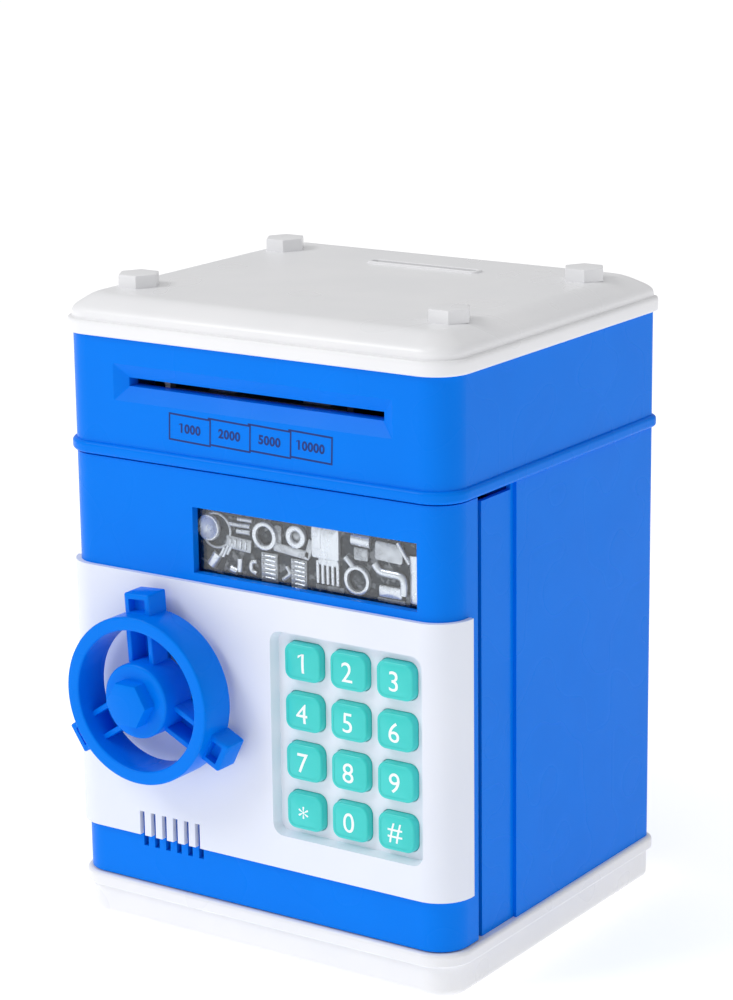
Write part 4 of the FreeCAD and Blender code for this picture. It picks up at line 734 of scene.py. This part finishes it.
# handwheel
handwheel = {
    "radius": 24.5, "band": 4.0, "depth": 12.0, "hub": 10.9, "stem": 5.0, "stemGap": 0.3,
    "hexAcross": 14.0, "hexHigh": 4.5, "softness": 0.7, "turn": -3.6, "rib": 1.6,
    "lugReach": 30.2, "lugWidth": 8.9, "lugSetback": 4.2, "lugDepth": 7.6, "lugPocket": 2.6, "lugRoot": 2.0,
    "pocketGap": 0.3, "spokeWidth": 9.0, "spokeSetback": 4.0, "spokeRoot": 1.0,
}


def loopRings(corners, at, steps=64):
    # a closed section of (radius, height, rounding) corners turned about the shaft
    return turnedRings(easedRows([(0.0, *corner) for corner in corners], 5)[:, 1:], at, forward, steps)


def softBox(x, z, w, soft):
    # a box between three pairs, its front edges and corners rounded: rings grow from a pole behind to one
    # in front
    u, v = (x[1] - x[0]) / 2, (z[1] - z[0]) / 2
    t = np.linspace(0, math.pi / 2, 5)
    inset, height = soft * (1 - np.cos(t)), w[1] - soft * (1 - np.sin(t))
    rows = np.stack([u - inset, v - inset, np.maximum(soft * 0.9 - inset, 0.02), height], -1)
    rows = np.concatenate([[(0, 0, 0, w[0]), (u, v, soft * 0.9, w[0])], rows, [(0, 0, 0, w[1])]])
    return stackedRings(*rows.T, ((x[0] + x[1]) / 2, (z[0] + z[1]) / 2), forward, 4)


def makeHandwheel(size):
    # rim and hub are turned, the lugs are pocketed boxes and the spokes open channels
    low, high = (np.array(corner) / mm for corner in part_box("knob_shaft"))
    at = np.array([(low[0] + high[0]) / 2, (low[2] + high[2]) / 2])
    top = -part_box("knob")[0][1] / mm - size["hexHigh"]
    foot, soft, rib = top - size["depth"], size["softness"], size["rib"]
    outer, inner, hub = size["radius"], size["radius"] - size["band"], size["hub"]
    rim = loopRings(
        [(outer, foot, soft), (outer, top, soft), (inner, top, soft), (inner, foot, soft)], at, 96
    )
    stem, stemFoot = size["stem"], -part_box("front_panel")[0][1] / mm + size["stemGap"]
    hubRings = turnedRings([
        (0, stemFoot), (stem, stemFoot), (stem, foot), (hub - 0.3, foot), (hub, foot + 0.3),
        (hub, top - 0.8), (hub - 0.15, top - 0.35), (hub - 0.5, top - 0.08), (hub - 0.9, top),
        (size["hexAcross"] * 0.4, top), (0, top),
    ], at, forward, 64)
    across, hexTop = size["hexAcross"] / 2, top + size["hexHigh"]
    hexRings = turnedRings([
        (0, top - 0.5), (across, top - 0.5), (across, hexTop - 0.5), (across - 0.15, hexTop - 0.15),
        (across - 0.55, hexTop), (0, hexTop),
    ], at, forward, 6)

    # a lug's rows: middle and half sizes up its spoke, across first, then corner radius and height
    half, lugTop = size["lugWidth"] / 2, top - size["lugSetback"]
    lugFoot, pocketTop = lugTop - size["lugDepth"], lugTop - size["lugPocket"]
    lugLow, lugHigh = outer - size["lugRoot"], size["lugReach"]
    pocketLow, pocketHigh = outer + size["pocketGap"], lugHigh - rib
    middle, pocketMiddle = (lugLow + lugHigh) / 2, (pocketLow + pocketHigh) / 2
    outV, inV = (lugHigh - lugLow) / 2, (pocketHigh - pocketLow) / 2
    lugMiddles, *lugRows = np.array([
        (middle, 0, 0, 0, lugFoot), (middle, half, outV, 0.5, lugFoot),
        (middle, half, outV, 0.5, lugTop - 0.6), (middle, half - 0.15, outV - 0.15, 0.4, lugTop - 0.2),
        (middle, half - 0.5, outV - 0.5, 0.3, lugTop), (pocketMiddle, half - rib, inV, 0.3, lugTop),
        (pocketMiddle, half - rib - 0.1, inV - 0.1, 0.3, pocketTop), (pocketMiddle, 0, 0, 0, pocketTop),
    ]).T
    lug = stackedRings(*lugRows, np.stack([0 * lugMiddles, lugMiddles], -1), forward, 4)

    # a spoke is a floor and two walls
    armHalf, armTop = size["spokeWidth"] / 2, top - size["spokeSetback"]
    armSpan = (hub - size["spokeRoot"], inner + size["spokeRoot"])
    arms = [
        softBox((-armHalf, armHalf), armSpan, (foot, foot + rib), 0.2),
        softBox((-armHalf, rib - armHalf), armSpan, (foot, armTop), 0.35),
        softBox((armHalf - rib, armHalf), armSpan, (foot, armTop), 0.35),
    ]
    grids = [hubRings, hexRings]
    for index in range(3):
        angle = math.radians(120 * index + size["turn"])
        for part in [lug] + arms:
            placed = part.copy()
            placed[..., 0] = part[..., 0] * math.cos(angle) + part[..., 2] * math.sin(angle) + at[0]
            placed[..., 2] = part[..., 2] * math.cos(angle) - part[..., 0] * math.sin(angle) + at[1]
            grids.append(placed)
    points, quads = gridMesh(grids)
    rimPoints, rimQuads = gridMesh([rim], closed=True)
    piece = addPiece(
        "handwheel", np.concatenate([points, rimPoints]), np.concatenate([quads, rimQuads + len(points)]),
        finishes["blue_plastic"], bodyOf["knob"], "blue_plastic", 40,
    )
    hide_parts("knob")


makeHandwheel(handwheel)
print("handwheel made")


# lid bolts
lidBolts = {"across": 12.5, "high": 3.8, "chamfer": 0.5, "shank": 1.25}


def makeLidBolts(size):
    # six-sided heads with a chamfer, each on its shank: rings of six points, then of many
    low, high = (np.array(corner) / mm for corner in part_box("hex_bolts"))
    half, chamfer, seat = size["across"] / 2, size["chamfer"], high[2] - size["high"]
    spanX, spanY = high[0] - half, high[1] - half * math.sqrt(3) / 2
    grids = []
    top, shank = high[2], size["shank"]
    for x, y in ((-spanX, -spanY), (spanX, -spanY), (spanX, spanY), (-spanX, spanY)):
        grids.append(turnedRings([
            (0, seat), (half, seat), (half, top - chamfer), (half - 0.3 * chamfer, top - 0.3 * chamfer),
            (half - chamfer, top - 0.05), (half - 2.2 * chamfer, top), (0, top),
        ], (x, y), upward, 6))
        grids.append(turnedRings(
            [(0, low[2]), (shank, low[2]), (shank, seat + 0.2), (0, seat + 0.2)], (x, y), upward, 20
        ))
    piece = addPiece(
        "lid_bolts", *gridMesh(grids), finishes["white_plastic"], bodyOf["hex_bolts"], "white_plastic", 30
    )
    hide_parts("hex_bolts")


makeLidBolts(lidBolts)
print("lid bolts made")


# floor and lights
studio = {
    "floorRadius": 40.0, "floorColour": "#F6F6F7", "floorShade": "#EFEFF1", "mottle": 60.0,
    "floorGlow": 0.53, "worldStrength": 0.56, "aim": (0, 0, 0.09),
    # name: place in metres, width, height, power
    "lamps": {
        "keyBox": ((-0.80, -1.02, 1.26), 0.6, 0.6, 9.0),
        "topBox": ((-0.1, -0.35, 1.5), 0.5, 0.5, 1.5),
    },
}


def setStage(size):
    floorMaterial, tree, place = startMaterial("matteFloorPaint")
    # matt paint with a faint mottle, and a little light of its own so that it reads as a bright sheet
    mottle = addNode(
        tree, "ShaderNodeTexNoise", {"Scale": perMetre(size["mottle"]), "Detail": 4.0}, {"Vector": place}
    )
    colours = {6: hexColour(size["floorColour"]), 7: hexColour(size["floorShade"])}
    tint = addNode(tree, "ShaderNodeMix", {"data_type": "RGBA", **colours}, {0: mottle.outputs["Fac"]})
    shader = addNode(
        tree, "ShaderNodeBsdfPrincipled",
        {"Roughness": 0.8, "Specular IOR Level": 0.2, "Emission Color": hexColour("#FFFFFF"),
         "Emission Strength": size["floorGlow"]},
        {"Base Color": tint.outputs[2]},
    )
    finishMaterial(tree, shader)
    # a flat disc: rings of circles from the middle out
    reach = np.array([0, 0.3, 1.0, 3.0, size["floorRadius"]]) / mm
    points, quads = gridMesh([turnedRings(np.stack([reach, 0 * reach], -1), (0, 0), upward, 64)])
    mesh = bpy.data.meshes.new("floor")
    mesh.from_pydata((points * mm).tolist(), [], quads.tolist())
    mesh.materials.append(floorMaterial)
    floor = bpy.data.objects.new("floor", mesh)
    bpy.context.scene.collection.objects.link(floor)
    world = bpy.data.worlds.new("studioWorld")
    world.use_nodes = True
    background = world.node_tree.nodes["Background"]
    background.inputs["Color"].default_value = hexColour("#FFFFFF")
    background.inputs["Strength"].default_value = size["worldStrength"]
    bpy.context.scene.world = world
    for name, (spot, width, height, power) in size["lamps"].items():
        data = bpy.data.lights.new(name, "AREA")
        data.shape, data.size, data.size_y, data.energy = "RECTANGLE", width, height, power
        lamp = bpy.data.objects.new(name, data)
        turn = (Vector(size["aim"]) - Vector(spot)).to_track_quat("-Z", "Y").to_matrix().to_4x4()
        lamp.matrix_world = Matrix.Translation(Vector(spot)) @ turn
        bpy.context.scene.collection.objects.link(lamp)
    bpy.context.scene.view_settings.view_transform = "Standard"


setStage(studio)

print("stage set")
